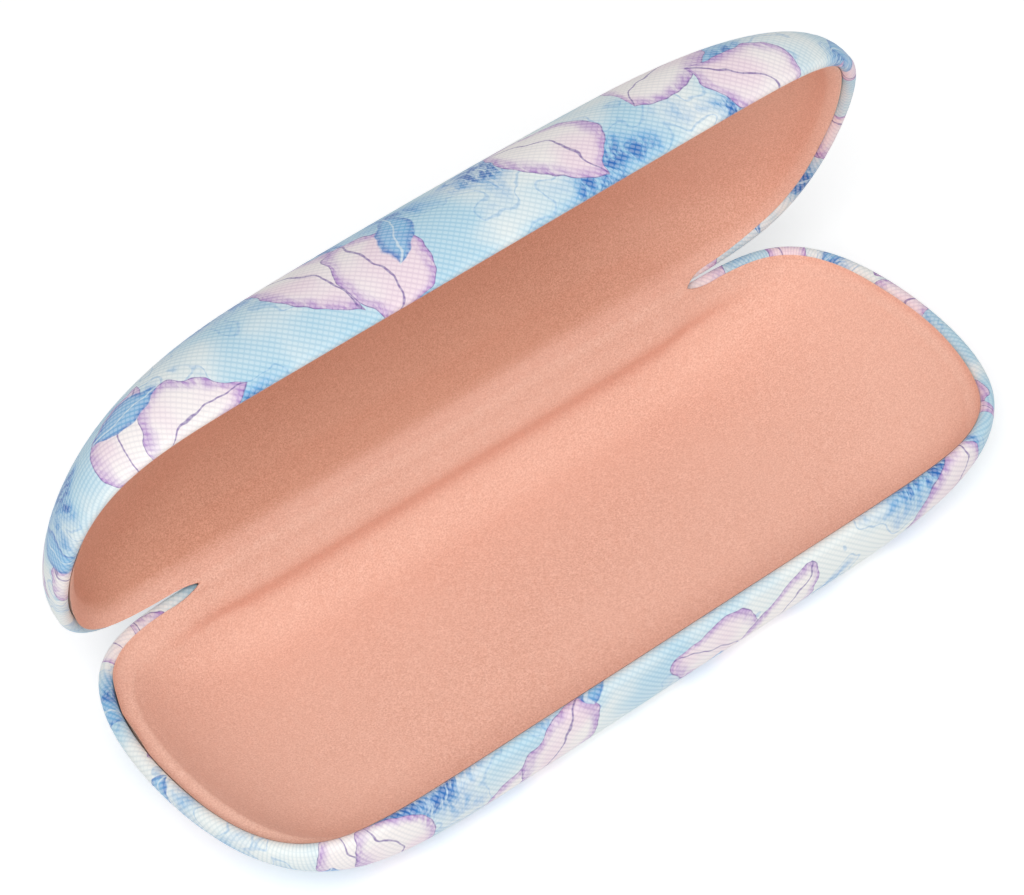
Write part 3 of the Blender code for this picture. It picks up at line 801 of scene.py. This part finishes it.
def notch_line(sheet, back_face=False):
    """Points of a sheet's notch row across the hinge, and the points one row nearer the crown."""
    r, step = sheet["notch"], -1
    if back_face:
        r, step = len(sheet["number"]) - 1 - r, 1
    return [sheet["points"][sheet["number"][row, sheet["hinge"]]] for row in (r, r + step)]


def meeting(first, first_way, second, second_way):
    """Where two lines in the Y-Z plane meet, column by column."""
    gap = second - first
    cross = first_way[:, 1] * second_way[:, 2] - first_way[:, 2] * second_way[:, 1]
    reach = (gap[:, 1] * second_way[:, 2] - gap[:, 2] * second_way[:, 1]) / cross
    return first + first_way * reach[:, None]


def web_face(back_face):
    """Rows of one of the web's faces, from the base's notch to the lid's."""
    start, before = notch_line(covers["base"], back_face)
    end, after = notch_line(covers["lid"], back_face)
    corner = meeting(start, start - before, end, end - after)
    steps = [i / WEB_ROWS for i in range(WEB_ROWS + 1)]
    return np.stack([(1 - t) ** 2 * start + 2 * t * (1 - t) * corner + t * t * end for t in steps])


def strip_mesh(name, front, back):
    """A closed strip between two faces, given as rows of points across the hinge."""
    rows, columns = front.shape[:2]
    number = np.arange(2 * rows * columns).reshape(2 * rows, columns)
    faces = []
    for r in range(2 * rows):
        s = (r + 1) % (2 * rows)
        faces += [(number[r, j], number[r, j + 1], number[s, j + 1], number[s, j])
                  for j in range(columns - 1)]
    for j in (0, columns - 1):
        faces += [(number[r, j], number[r + 1, j], number[-2 - r, j], number[-1 - r, j])
                  for r in range(rows - 1)]
    return mesh_of(name, np.concatenate([front, back[::-1]]).reshape(-1, 3), faces)


web_front, web_back = web_face(False), web_face(True)
web_mesh = strip_mesh("cover_web", web_front, web_back)
web_mesh.materials.append(cover_finish)
web_length = np.linalg.norm(np.diff(web_front, axis=0), axis=2).sum(axis=0)
print(f"web: {web_length.mean() / MM:.2f} mm from cover to cover")

# %% [markdown]
# ## One print over both halves
#
# The print runs over the hinge without a break, because the real cover is cut in one piece. The lid's UV
# is turned over and set beyond the web, and the web's UV runs evenly between the two notch rows.

# %% Lay out the sheet's UV map
def set_uv(mesh, uv):
    """Stores each point's place on the sheet as the mesh's UV map."""
    layer = mesh.uv_layers.new(name="sheet")
    corners = np.empty(len(mesh.loops), np.int32)
    mesh.loops.foreach_get("vertex_index", corners)
    layer.data.foreach_set("uv", uv[corners].astype(np.float32).ravel())


def notch_uv(sheet):
    """Places on the sheet of a cover's notch row."""
    return sheet["uv"][sheet["number"][sheet["notch"], sheet["hinge"]]]


middle = len(COVER_RIM["hinge"]) // 2
fold_line = notch_uv(covers["base"])[middle, 1] + web_length[middle] + notch_uv(covers["lid"])[middle, 1]
covers["lid"]["uv"][:, 1] = fold_line - covers["lid"]["uv"][:, 1]
for cover in covers.values():
    set_uv(cover["mesh"], cover["uv"])

base_uv, lid_uv = notch_uv(covers["base"]), notch_uv(covers["lid"])
shares = np.linspace(0.0, 1.0, WEB_ROWS + 1)[:, None, None]
web_uv = base_uv * (1 - shares) + lid_uv * shares
set_uv(web_mesh, np.concatenate([web_uv, web_uv[::-1]]).reshape(-1, 2))
sheet_low = np.min([cover["uv"].min(axis=0) for cover in covers.values()], axis=0)
sheet_high = np.max([cover["uv"].max(axis=0) for cover in covers.values()], axis=0)
print("cover cut from", ((sheet_high - sheet_low) / MM).round(0), "mm of sheet")

# %% [markdown]
# ## The flocked lining
#
# The inside is flocked: short fibres stand on a thin formed tray, so it looks soft and matt, with a pale
# bloom where it is seen edge on. Real fibres would be far too many to model. Fine noise in the colour and
# in a bump gives the grain, a slow noise gives the way the pile lies, and the shader's sheen gives the
# bloom.

# %% The flock finish
FIBRE_SIZE, TUFT_SIZE, LAY_SIZE = 0.27 * MM, 1.3 * MM, 24 * MM
FIBRE_BUMP, FIBRE_HEIGHT = 0.35, 0.12 * MM


def make_lining_finish():
    """Flock, paler where the attribute of painted shade is 0, and painted darker and deeper where it is 1,
    for the shade inside the lid.
    """
    material, tree = new_finish("flocked_lining")
    spot = object_place(tree)
    nap = Wire.node(tree, "ShaderNodeAttribute", {"attribute_name": "nap"}, None, "Fac")
    fibre = noise(tree, spot, FIBRE_SIZE, 2.0, 0.7)
    tuft = noise(tree, spot, TUFT_SIZE, 3.0, 0.6)
    lay = noise(tree, spot, LAY_SIZE, 2.0, 0.5)
    # The flock's own colours, and a copy of them painted darker and deeper as shade for the inside of the lid
    upright = fibre.rise(0.25, 0.75).blend(paint(222, 169, 148), paint(254, 212, 194))
    shaded_flock = fibre.rise(0.25, 0.75).blend(paint(203, 147, 123), paint(237, 186, 162))
    # The tufts and the lay of the pile vary the colour, and each is also painted darker where the painted
    # shade is
    tuft_and_shade = nap.blend(paint(232, 180, 158), paint(212, 156, 131))
    lay_and_shade = nap.blend(paint(246, 202, 183), paint(228, 175, 151))
    colour = nap.blend(upright, shaded_flock)
    colour = (0.25 * tuft.rise(0.35, 0.65)).blend(colour, tuft_and_shade)
    colour = (0.20 * lay.rise(0.35, 0.65)).blend(colour, lay_and_shade)
    finish_shader(tree, {"Base Color": colour, "Roughness": 0.90 + 0.08 * fibre,
                         "Normal": bump_normal(tree, fibre + 0.6 * tuft, FIBRE_BUMP, FIBRE_HEIGHT),
                         "Specular IOR Level": 0.12, "Sheen Weight": 0.25, "Sheen Roughness": 0.45,
                         "Sheen Tint": paint(250, 226, 214)})
    return material


lining_finish = make_lining_finish()
print("lining finish:", len(lining_finish.node_tree.nodes), "nodes")

# %% [markdown]
# ## The two linings
#
# A lining follows the same die a little further in. Near the rim it thins and leans out against the bead,
# so that hardly a gap shows, apart from a few stretches where the glue has let go and a dark crack opens.
# The base's tray is smaller than the steel and has a soft rolled edge, which becomes a low ridge at the
# back, because the hinge lies behind it there. The lid's lining has a smaller roll at its two ends. Its
# edge stands up as a thin lip beside the slits and sits a little lower at the right end. The same press
# makes it all, from a blank whose rows go up the inside, round the edge and down the back.

# %% Sizes of the linings
# The wall, how it leans out against the bead, and how it swells over the hinge instead
LINING_FACE = 1.45 * MM
LINING_THICKNESS = 0.7 * MM
LINING_TOP = 0.75 * MM
THIN_EDGE = 0.10 * MM
BEAD_CLEARANCE = 0.06 * MM
LEAN_RUN = 5.0 * MM
HUG_START, HUG_RUN = 51.0 * MM, 9.0 * MM
SWELL, SWELL_SIDE = 0.7 * MM, 8.0 * MM
SWELL_START, SWELL_RUN = 9.5 * MM, 3.5 * MM

# The rolled edges, and the base's ridge in front of the hinge
ROLL_LEFT, ROLL_RIGHT = 1.9 * MM, 0.8 * MM
ROLL_DEPTH = 7.0 * MM
ROLL_END, ROLL_FADE = 15.3 * MM, 7.3 * MM
LID_ROLL, LID_ROLL_DEPTH = 1.3 * MM, 1.8 * MM
LID_ROLL_END, LID_ROLL_FADE = 11.0 * MM, 8.0 * MM
LID_ROLL_START, LID_ROLL_RUN = 64.0 * MM, 11.0 * MM
RIDGE = 1.5 * MM
RIDGE_HALF, RIDGE_SIDE = 70.0 * MM, 25.0 * MM
RIDGE_TOP, RIDGE_RISE = 2.7 * MM, 5.0 * MM
RIDGE_END, RIDGE_FADE = 7.5 * MM, 4.5 * MM

# The lid's lip beside the slits, and where its edge sits lower
LIP_LEFT, LIP_RIGHT = 1.1 * MM, 0.1 * MM
LIP_START, LIP_RUN = 6.0 * MM, 14.0 * MM
DIP = 0.55 * MM
DIP_START, DIP_RUN = 58.0 * MM, 14.0 * MM

# Where the glue has let go: a place on the rim and its reach in mm, and a share of the widest gap
LOOSE_GAP, LOOSE_RUN = 0.6 * MM, 4.0 * MM
LOOSE_PLACES = {
    "base": (((-76.8, 20), 7, 0.55), ((-79, 11.5), 8, 0.75), ((-80, 0), 12, 0.25), ((79.5, 8), 12, 0.35),
             ((77.5, -16), 13, 0.35)),
    "lid": (((-79.7, 8), 13, 0.45), ((-79.7, -6), 13, 0.45), ((78.5, -12), 14, 0.45), ((80, 6), 13, 0.4)),
}
print("loose places:", {name: len(places) for name, places in LOOSE_PLACES.items()})

# %% Where the linings roll, dip and come loose
def smooth(value):
    """0 below 0 and 1 above 1, with a smooth step between them."""
    value = np.clip(value, 0.0, 1.0)
    return value * value * (3 - 2 * value)


spots = LINING_RIM["points"]
across = np.abs(spots[:, 0])
at_back = spots[:, 1] > WAIST_Y
near_hinge = smooth((SLIT_HALF - across) / SWELL_SIDE) * at_back
ridged = smooth((RIDGE_HALF - across) / RIDGE_SIDE) * at_back
roll_width = ROLL_LEFT + (ROLL_RIGHT - ROLL_LEFT) * smooth((1 + spots[:, 0] / HALF_LENGTH) / 2)
lid_roll_width = LID_ROLL * smooth((across - LID_ROLL_START) / LID_ROLL_RUN)
near_slit = smooth((spots[:, 1] - LIP_START) / LIP_RUN)
hug = np.where(at_back, smooth((across - HUG_START) / HUG_RUN), 1.0)
dip = DIP * smooth((spots[:, 0] - DIP_START) / DIP_RUN)
lip = {"base": 0 * near_slit, "lid": near_slit * np.where(spots[:, 0] < 0, LIP_LEFT, LIP_RIGHT) - dip}
loose = {}
for name, places in LOOSE_PLACES.items():
    pulls = [amount * smooth(1 - np.hypot(*(spots / MM - place).T) / reach)
             for place, reach, amount in places]
    loose[name] = hug * np.max(pulls, axis=0)
widest = {name: round(float(gap.max() * LOOSE_GAP / MM), 2) for name, gap in loose.items()}
print("loosest lining, in mm:", widest)

# %% Faces of the linings' walls
def bead_side(height):
    """How far out the lining may go at a height above the bead's centre."""
    return -np.sqrt(BEAD_RADIUS**2 - np.clip(height, 0.0, LINING_TOP) ** 2) - BEAD_CLEARANCE


def bulge(height, top, rise, end, fade):
    """How much of a swelling is there at a height: it grows below its top and fades out before its end."""
    return smooth((top - height) / rise) * smooth((end + height) / fade)


def padding(half, height, columns):
    """How far the padding pushes the front face in: rolled edges, and in the base a ridge at the hinge."""
    if half is LID:
        roll = bulge(height, LINING_TOP, LID_ROLL_DEPTH, LID_ROLL_END, LID_ROLL_FADE)
        return roll * lid_roll_width[columns]
    roll = bulge(height, LINING_TOP, ROLL_DEPTH, ROLL_END, ROLL_FADE)
    ridge = RIDGE * bulge(height, RIDGE_TOP, RIDGE_RISE, RIDGE_END, RIDGE_FADE)
    return roll * roll_width[columns] * (1 - ridged[columns]) + ridge * ridged[columns]


def lining_faces(half, height, columns=slice(None)):
    """How far out the front and the back face lie at a height above the bead's centre, column by column."""
    front, back = -LINING_FACE - LINING_THICKNESS, -LINING_FACE
    climb = np.clip(height, -LEAN_RUN, LINING_TOP) + LEAN_RUN
    thin_front = front + (bead_side(LINING_TOP) - THIN_EDGE - front) * (climb / (LEAN_RUN + LINING_TOP)) ** 2
    below_bead = back + (bead_side(0.0) - back) * (climb / LEAN_RUN) ** 2
    thin_back = np.where(height < 0, below_bead, bead_side(height))
    inward = SWELL * smooth((SWELL_START + height) / SWELL_RUN) * near_hinge[columns]
    inward = inward + LOOSE_GAP * smooth((height + LOOSE_RUN) / LOOSE_RUN) * loose[half["name"]][columns]
    front = front + (thin_front - front) * hug[columns] - inward - padding(half, height, columns)
    return front, back + (thin_back - back) * hug[columns] - inward


inset = {half["name"]: round(float(-lining_faces(half, 0.0)[0].mean() / MM), 2) for half in (BASE, LID)}
print("linings at the rim, mean mm in from the steel's middle:", inset)

# %% Rows of a lining
EDGE_HEIGHT = LINING_THICKNESS / 2
EDGE_ROWS = 3
EDGE_ANGLES = [math.radians(angle) for angle in (20.0, 45.0, 70.0)]


def die_depth(half, share):
    """Depth of the die below the rim at a share of the rim's size."""
    bend = max(0.0, (share - half["flat"]) / (1 - half["flat"]))
    return half["depth"] * (1 - bend ** half["shoulder"]) ** (1 / half["shoulder"])


def lining_rows(half):
    """The lining's path from the crown up the wall and round its edge, as front and back faces."""
    shares, notch = die_shares(half, 0.0)
    rows = []
    for share in shares:
        front, back = lining_faces(half, -die_depth(half, share))
        rows.append((share, (front, 0.0), (back, 0.0)))
    edge = LINING_TOP - EDGE_HEIGHT
    angles = [0.0] * EDGE_ROWS + EDGE_ANGLES
    heights = [edge * (i + 1) / EDGE_ROWS for i in range(EDGE_ROWS)]
    heights += [edge + EDGE_HEIGHT * math.sin(angle) for angle in EDGE_ANGLES]
    for height, angle in zip(heights, angles):
        up = height + lip[half["name"]] * smooth(height / LINING_TOP)
        front, back = lining_faces(half, np.minimum(up, height))
        middle, thick = (front + back) / 2, (back - front) / 2 * math.cos(angle)
        rows.append((1.0, (middle - thick, up), (middle + thick, up)))
    return rows, notch


print(len(lining_rows(BASE)[0]), "rows in the base's lining, from its crown round its edge")

# %% Press the linings
# Painted shade in the lid: how far from the hinge axis it starts and grows, how it fades at the edge, and how
# much lighter the right is painted
SHADE_START, SHADE_RUN = 3.0 * MM, 1.8 * MM
SHADE_EDGE = 3.2 * MM
SHADE_LIFT = 0.55
LIFT_START, LIFT_RUN = 20.0 * MM, 55.0 * MM


def set_painted_shade(mesh, points, half=None):
    """Painted shade: 0 in the base and over the hinge. In the lid it is painted in, less at the right and the
    edge, which are painted lighter.
    """
    nap = np.zeros(len(points))
    if half is LID:
        # Painted shade grows away from the hinge, is painted lighter towards the right and paler near the
        # edge
        nap = smooth((np.hypot(points[:, 1] - AXIS.y, points[:, 2] - AXIS.z) - SHADE_START) / SHADE_RUN)
        nap = nap * (1 - SHADE_LIFT * smooth((points[:, 0] - LIFT_START) / LIFT_RUN))
        depth = about_hinge(points, -half["angle"])[:, 2] - AXIS.z - BEAD_DROP
        nap = nap * smooth((depth + LINING_TOP) / SHADE_EDGE)
    mesh.attributes.new("nap", "FLOAT", "POINT").data.foreach_set("value", nap.astype(np.float32))


def press_lining(half):
    """The pressed lining of one half, with the same values as a cover."""
    rows, notch = lining_rows(half)
    blank, number = make_blank("lining_blank", LINING_RIM, rows, notch)
    mesh = press_blank(blank, half, lining_finish)
    points = points_of(mesh)
    set_painted_shade(mesh, points, half)
    return {"mesh": mesh, "points": points, "number": number, "notch": notch, "hinge": LINING_RIM["hinge"],
            "uv": unrolled(half, LINING_RIM, points, number, notch)}


linings = {half["name"]: press_lining(half) for half in (BASE, LID)}
for name, lining in linings.items():
    low, high = lining["points"].min(axis=0), lining["points"].max(axis=0)
    print(f"{name} lining spans", ((high - low) / MM).round(1), "mm")

# %% [markdown]
# ## The lining over the hinge
#
# The lining goes over the hinge as a soft fold, round and free of any seam. On each half it rises from
# the rim to the level of the hinge axis and goes round the axis to the middle of the fold. At the two
# slit ends the fold is cut to a V: a tongue on each half whose free edge sinks from the middle of the
# fold to the lining's own edge.

# %% One side of the fold
FOLD_ROWS = 14
ROUND_ROWS = 5
SLIT_MARGIN = 0.01 * MM


def fold_side(half):
    """Front and back faces of the fold on one half, in rows from the rim to its middle or free edge."""
    columns = LINING_RIM["hinge"]
    lining = linings[half["name"]]
    faces = [about_hinge(notch_line(lining, back)[0], -half["angle"]) for back in (False, True)]
    at_rim = [AXIS.y - face[:, 1] + out for face, out in zip(faces, lining_faces(half, 0.0, columns))]
    at_top = lining_faces(half, LINING_TOP, columns)
    span = across[columns]
    radius = np.mean([face - out for face, out in zip(at_rim, at_top)], axis=0)
    whole = BEAD_DROP + radius * OPEN_ANGLE / 2
    share = np.clip((SLIT_HALF + TONGUE - span) / TONGUE, 0.0, 1.0) ** 2
    top = LINING_TOP + lip[half["name"]][columns]
    edge = top + (whole - top) * share
    free = span > SLIT_HALF + SLIT_MARGIN

    rows = []
    turns = [math.pi / 2 * (i + 1) / ROUND_ROWS for i in range(ROUND_ROWS)]
    steps = [((edge - EDGE_HEIGHT) * i / FOLD_ROWS, 1.0) for i in range(FOLD_ROWS + 1)]
    steps += [(edge - EDGE_HEIGHT + EDGE_HEIGHT * math.sin(turn), math.cos(turn)) for turn in turns]
    for path, wide in steps:
        thin = np.where(free, wide, 1.0)
        level = BEAD_DROP - np.minimum(path, BEAD_DROP)
        angle = np.maximum(0.0, path - BEAD_DROP) / radius
        insets = [face - out for face, out in zip(at_rim, lining_faces(half, path, columns))]
        row = []
        for face, other, inset, other_inset in zip(faces, faces[::-1], insets, insets[::-1]):
            x = (face[:, 0] * (1 + thin) + other[:, 0] * (1 - thin)) / 2
            x = x + (spots[columns, 0] - x) * path / whole
            reach = (inset * (1 + thin) + other_inset * (1 - thin)) / 2
            y = AXIS.y - reach * np.cos(angle)
            z = AXIS.z + half["side"] * (level - reach * np.sin(angle))
            row.append(about_hinge(np.stack([x, y, z], axis=1), half["angle"]))
        rows.append(row)
    return np.array([row[0] for row in rows]), np.array([row[1] for row in rows])


fold_sides = [fold_side(half) for half in (BASE, LID)]
print("fold:", [side[0].shape[:2] for side in fold_sides], "rows and columns a side")

# %% Join the fold's two sides
WELD_DISTANCE = 0.004 * MM


def fold_mesh_from(sides):
    """Both tongues, each closed at its rim and at its ends, joined where they meet over the hinge."""
    points, faces = [], []
    for front, back in sides:
        rows, columns = front.shape[:2]
        number = sum(len(part) for part in points) + np.arange(2 * rows * columns).reshape(2, rows, columns)
        points += [front.reshape(-1, 3), back.reshape(-1, 3)]
        for skin in number:
            faces += [(skin[r, j], skin[r, j + 1], skin[r + 1, j + 1], skin[r + 1, j])
                      for r in range(rows - 1) for j in range(columns - 1)]
        faces += [(number[0, 0, j], number[0, 0, j + 1], number[1, 0, j + 1], number[1, 0, j])
                  for j in range(columns - 1)]
        faces += [(number[0, r, j], number[0, r + 1, j], number[1, r + 1, j], number[1, r, j])
                  for r in range(rows - 1) for j in (0, columns - 1)]
    mesh = mesh_of("lining_fold", np.concatenate(points), faces)
    joined = bmesh.new()
    joined.from_mesh(mesh)
    bmesh.ops.remove_doubles(joined, verts=joined.verts, dist=WELD_DISTANCE)
    bmesh.ops.holes_fill(joined, edges=[edge for edge in joined.edges if edge.is_boundary], sides=4)
    joined.to_mesh(mesh)
    joined.free()
    return mesh


fold_mesh = fold_mesh_from(fold_sides)
fold_mesh.materials.append(lining_finish)
set_painted_shade(fold_mesh, points_of(fold_mesh))
fold_length = sum(np.linalg.norm(np.diff(side[0], axis=0), axis=2).sum(axis=0).max() for side in fold_sides)
print(f"fold: {fold_length / MM:.2f} mm over the hinge")

# %% [markdown]
# ## Steel finishes
#
# Steel shows only if the sheets are taken off, but it is finished all the same: zinc-grey pressings with
# a faint spangle, drawn hinge steel with fine lines along its length, dark tempered springs and plain
# rivets. One function makes all four, because they differ in colour, in how rough they are and in how far
# the grain is drawn.

# %% Steel for the pressings, hinge, springs and rivets
CLOUD_SIZE = 9 * MM
GRAIN_BUMP, GRAIN_HEIGHT = 0.15, 0.03 * MM

# Dark and light grey, how rough it is, the size of its grain, and how far that is drawn out
STEELS = {
    "pressed_steel": (paint(150, 152, 156), paint(196, 198, 202), 0.42, 3.0 * MM, 1.0),
    "hinge_steel": (paint(168, 168, 170), paint(208, 208, 210), 0.34, 0.4 * MM, 14.0),
    "spring_steel": (paint(86, 90, 102), paint(138, 142, 152), 0.30, 0.3 * MM, 10.0),
    "rivet_steel": (paint(176, 172, 164), paint(214, 212, 206), 0.36, 0.5 * MM, 1.0),
}
STEEL_OF = {"shell": "pressed_steel", "leaf": "hinge_steel", "pin": "hinge_steel", "rivet": "rivet_steel"}


def make_steel_finish(name, dark, light, rough, grain, stretch):
    """Bare steel between two greys, with clouds and a grain that can be drawn out along the case."""
    material, tree = new_finish(name)
    spot = object_place(tree)
    lines = noise(tree, stretched(tree, spot, (1 / stretch, 1.0, 1.0)), grain, 3.0, 0.6)
    cloud = noise(tree, spot, CLOUD_SIZE, 3.0, 0.5)
    finish_shader(tree, {"Base Color": (0.6 * lines + 0.4 * cloud).rise(0.3, 0.7).blend(dark, light),
                         "Roughness": rough + 0.18 * (cloud - 0.5) + 0.10 * (lines - 0.5),
                         "Metallic": 1.0, "Normal": bump_normal(tree, lines, GRAIN_BUMP, GRAIN_HEIGHT)})
    return material


steels = {name: make_steel_finish(name, *look) for name, look in STEELS.items()}
finished_nodes = []
for name, node in frame["nodes"].items():
    word = next((word for word in STEEL_OF if word in name), None)
    if word:
        node.data.materials.clear()
        node.data.materials.append(steels[STEEL_OF[word]])
        finished_nodes.append(name)
print("steel nodes finished:", len(finished_nodes))

# %% [markdown]
# ## The snap springs
#
# Two leaf springs bent over the hinge hold the lid open or shut. In CAD they are stiff strips on the base,
# but the real ones flex as the lid moves. Each is made again as a thin strip along the same path, shaped
# for the lid as it stands open.

# %% Bend the snap springs
SPRING_FACE = 1.35 * MM
SPRING_THICKNESS = 0.4 * MM
SPRING_STEPS = 6
SPRING_COLUMNS = 7
SPRING_REACH = 7.2 * MM
ARC_ROWS = 14


def spring_face(x_low, x_high, reach):
    """Rows of a spring's face at one distance from the axis, up the base's wall and along the lid's."""
    path = [(-reach, -SPRING_REACH * (1 - i / SPRING_STEPS)) for i in range(SPRING_STEPS)]
    path += [(reach * math.cos(angle), reach * math.sin(angle))
             for angle in (math.pi - OPEN_ANGLE * i / ARC_ROWS for i in range(ARC_ROWS + 1))]
    cosine, sine = math.cos(OPEN_ANGLE), math.sin(OPEN_ANGLE)
    for i in range(SPRING_STEPS):
        y, z = -reach, SPRING_REACH * (i + 1) / SPRING_STEPS
        path.append((y * cosine + z * sine, z * cosine - y * sine))
    xs = np.linspace(x_low, x_high, SPRING_COLUMNS)
    return np.stack([np.stack([xs, np.full_like(xs, AXIS.y + y), np.full_like(xs, AXIS.z + z)], axis=1)
                     for y, z in path])


spring_meshes = {}
for side in ("left", "right"):
    low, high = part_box(f"snap_spring_{side}")
    front = spring_face(low[0], high[0], SPRING_FACE + SPRING_THICKNESS)
    spring_meshes[side] = strip_mesh(f"spring_{side}", front, spring_face(low[0], high[0], SPRING_FACE))
    spring_meshes[side].materials.append(steels["spring_steel"])
print("springs:", {side: len(mesh.polygons) for side, mesh in spring_meshes.items()}, "faces")

# %% [markdown]
# ## Put the pieces on the frame
#
# Covers and linings ride on their own half and stand for its soft CAD solid. The web, the fold and the
# springs cross the joint. They aren't put on either body and don't bend between them.


def area_of(uv, number, rows):
    """Area of a sheet's flat cut, from its places on it."""
    total = 0.0
    for r in range(rows - 1):
        for j in range(number.shape[1]):
            k = (j + 1) % number.shape[1]
            corners = [number[r, j], number[r, k], number[r + 1, k], number[r + 1, j]]
            if min(corners) >= 0:
                x, y = uv[corners].T
                total += abs(np.dot(x, np.roll(y, -1)) - np.dot(y, np.roll(x, -1))) / 2
    return total


def bend_over_hinge(piece):
    """Bakes a piece's place into its mesh. The piece keeps its shape and is not bent between the two bodies.
    """
    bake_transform(piece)


def mount_sheet(piece, sheet, half_name, node, going_with=()):
    """Puts a pressed sheet on its half and says what flat size it was cut to."""
    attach(piece, half_name)
    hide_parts(node)
    span = sheet["uv"].max(axis=0) - sheet["uv"].min(axis=0)
    area = area_of(sheet["uv"], sheet["number"], len(sheet["number"]) // 2)
    print(f"{piece.name}: cut {span[0] / MM:.0f} x {span[1] / MM:.0f} mm, {area * 1e4:.0f} square cm")


# %% Put the pieces in place
web = add_piece("cover_web", web_mesh)
bend_over_hinge(web)
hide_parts("hinge_cover")

fold = add_piece("lining_fold", fold_mesh)
bend_over_hinge(fold)
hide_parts("hinge_lining")

for name in ("base", "lid"):
    cover = add_piece(f"cover_{name}", covers[name]["mesh"])
    mount_sheet(cover, covers[name], name, f"{name}_cover")
    lining = add_piece(f"lining_{name}", linings[name]["mesh"])
    mount_sheet(lining, linings[name], name, f"{name}_liner", [fold] if name == "base" else [])

for side, mesh in spring_meshes.items():
    spring = add_piece(f"spring_{side}", mesh)
    bend_over_hinge(spring)
    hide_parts(f"snap_spring_{side}")

# %% [markdown]
# ## Floor and light
#
# The photograph is a plain product picture on white. A big soft lamp at the front left and a pale sky
# light the case at a plain level. The floor is matt white, and for what the camera sees straight on it
# adds a little light of its own, so that it reads as white paper while the case still leaves a soft
# shadow on it.

# %% Floor
FLOOR_SIZE = 6.0
FLOOR_GLOW = 0.30
PAPER_GRAIN = 0.8 * MM


def light_path(tree):
    """1 for rays that show the background: straight from the camera, or by way of gloss or glass."""
    path = Wire.node(tree, "ShaderNodeLightPath").socket.node
    seen = Wire(path.outputs["Is Camera Ray"]).math("MAXIMUM", Wire(path.outputs["Is Glossy Ray"]))
    return seen.math("MAXIMUM", Wire(path.outputs["Is Transmission Ray"]))


floor_material, floor_tree = new_finish("floor_paper")
grain = noise(floor_tree, object_place(floor_tree), PAPER_GRAIN, 2.0)
paper = grain.blend(paint(244, 244, 244), paint(248, 248, 248))
matt = Wire.node(floor_tree, "ShaderNodeBsdfDiffuse", None, {"Color": paper})
glow = Wire.node(floor_tree, "ShaderNodeEmission", None, {"Strength": FLOOR_GLOW * light_path(floor_tree)})
both = Wire.node(floor_tree, "ShaderNodeAddShader", None, {0: matt, 1: glow})
Wire.node(floor_tree, "ShaderNodeOutputMaterial", None, {"Surface": both})
reach = FLOOR_SIZE / 2
corners = [(-reach, -reach, 0), (reach, -reach, 0), (reach, reach, 0), (-reach, reach, 0)]
floor_mesh = mesh_of("floor", corners, [(0, 1, 2, 3)])
floor_mesh.materials.append(floor_material)
floor = bpy.data.objects.new("floor", floor_mesh)
bpy.context.scene.collection.objects.link(floor)
print("floor:", FLOOR_SIZE, "m")

# %% Lamp and sky
SKY_LEVEL = 0.45
LAMP_PLACE = Vector((-0.52, -0.72, 1.12))
LAMP_SIZE, LAMP_POWER = 1.00, 13.0

world = bpy.data.worlds.new("sky")
world.use_nodes = True
world.node_tree.nodes.clear()
strength = SKY_LEVEL + (1 - SKY_LEVEL) * light_path(world.node_tree)
sky = Wire.node(world.node_tree, "ShaderNodeBackground", None,
                {"Color": paint(255, 255, 255), "Strength": strength})
Wire.node(world.node_tree, "ShaderNodeOutputWorld", None, {"Surface": sky})
bpy.context.scene.world = world

lamp = bpy.data.objects.new("key", bpy.data.lights.new("key", "AREA"))
lamp.data.shape = "DISK"
lamp.data.size = LAMP_SIZE
lamp.data.energy = LAMP_POWER
lamp.location = LAMP_PLACE
lamp.rotation_mode = "QUATERNION"
lamp.rotation_quaternion = (VIEW_TARGET - LAMP_PLACE).to_track_quat("-Z", "Y")
bpy.context.scene.collection.objects.link(lamp)
bpy.context.scene.view_settings.view_transform = "Standard"
print("lamp:", LAMP_SIZE, "m across,", LAMP_POWER, "W")
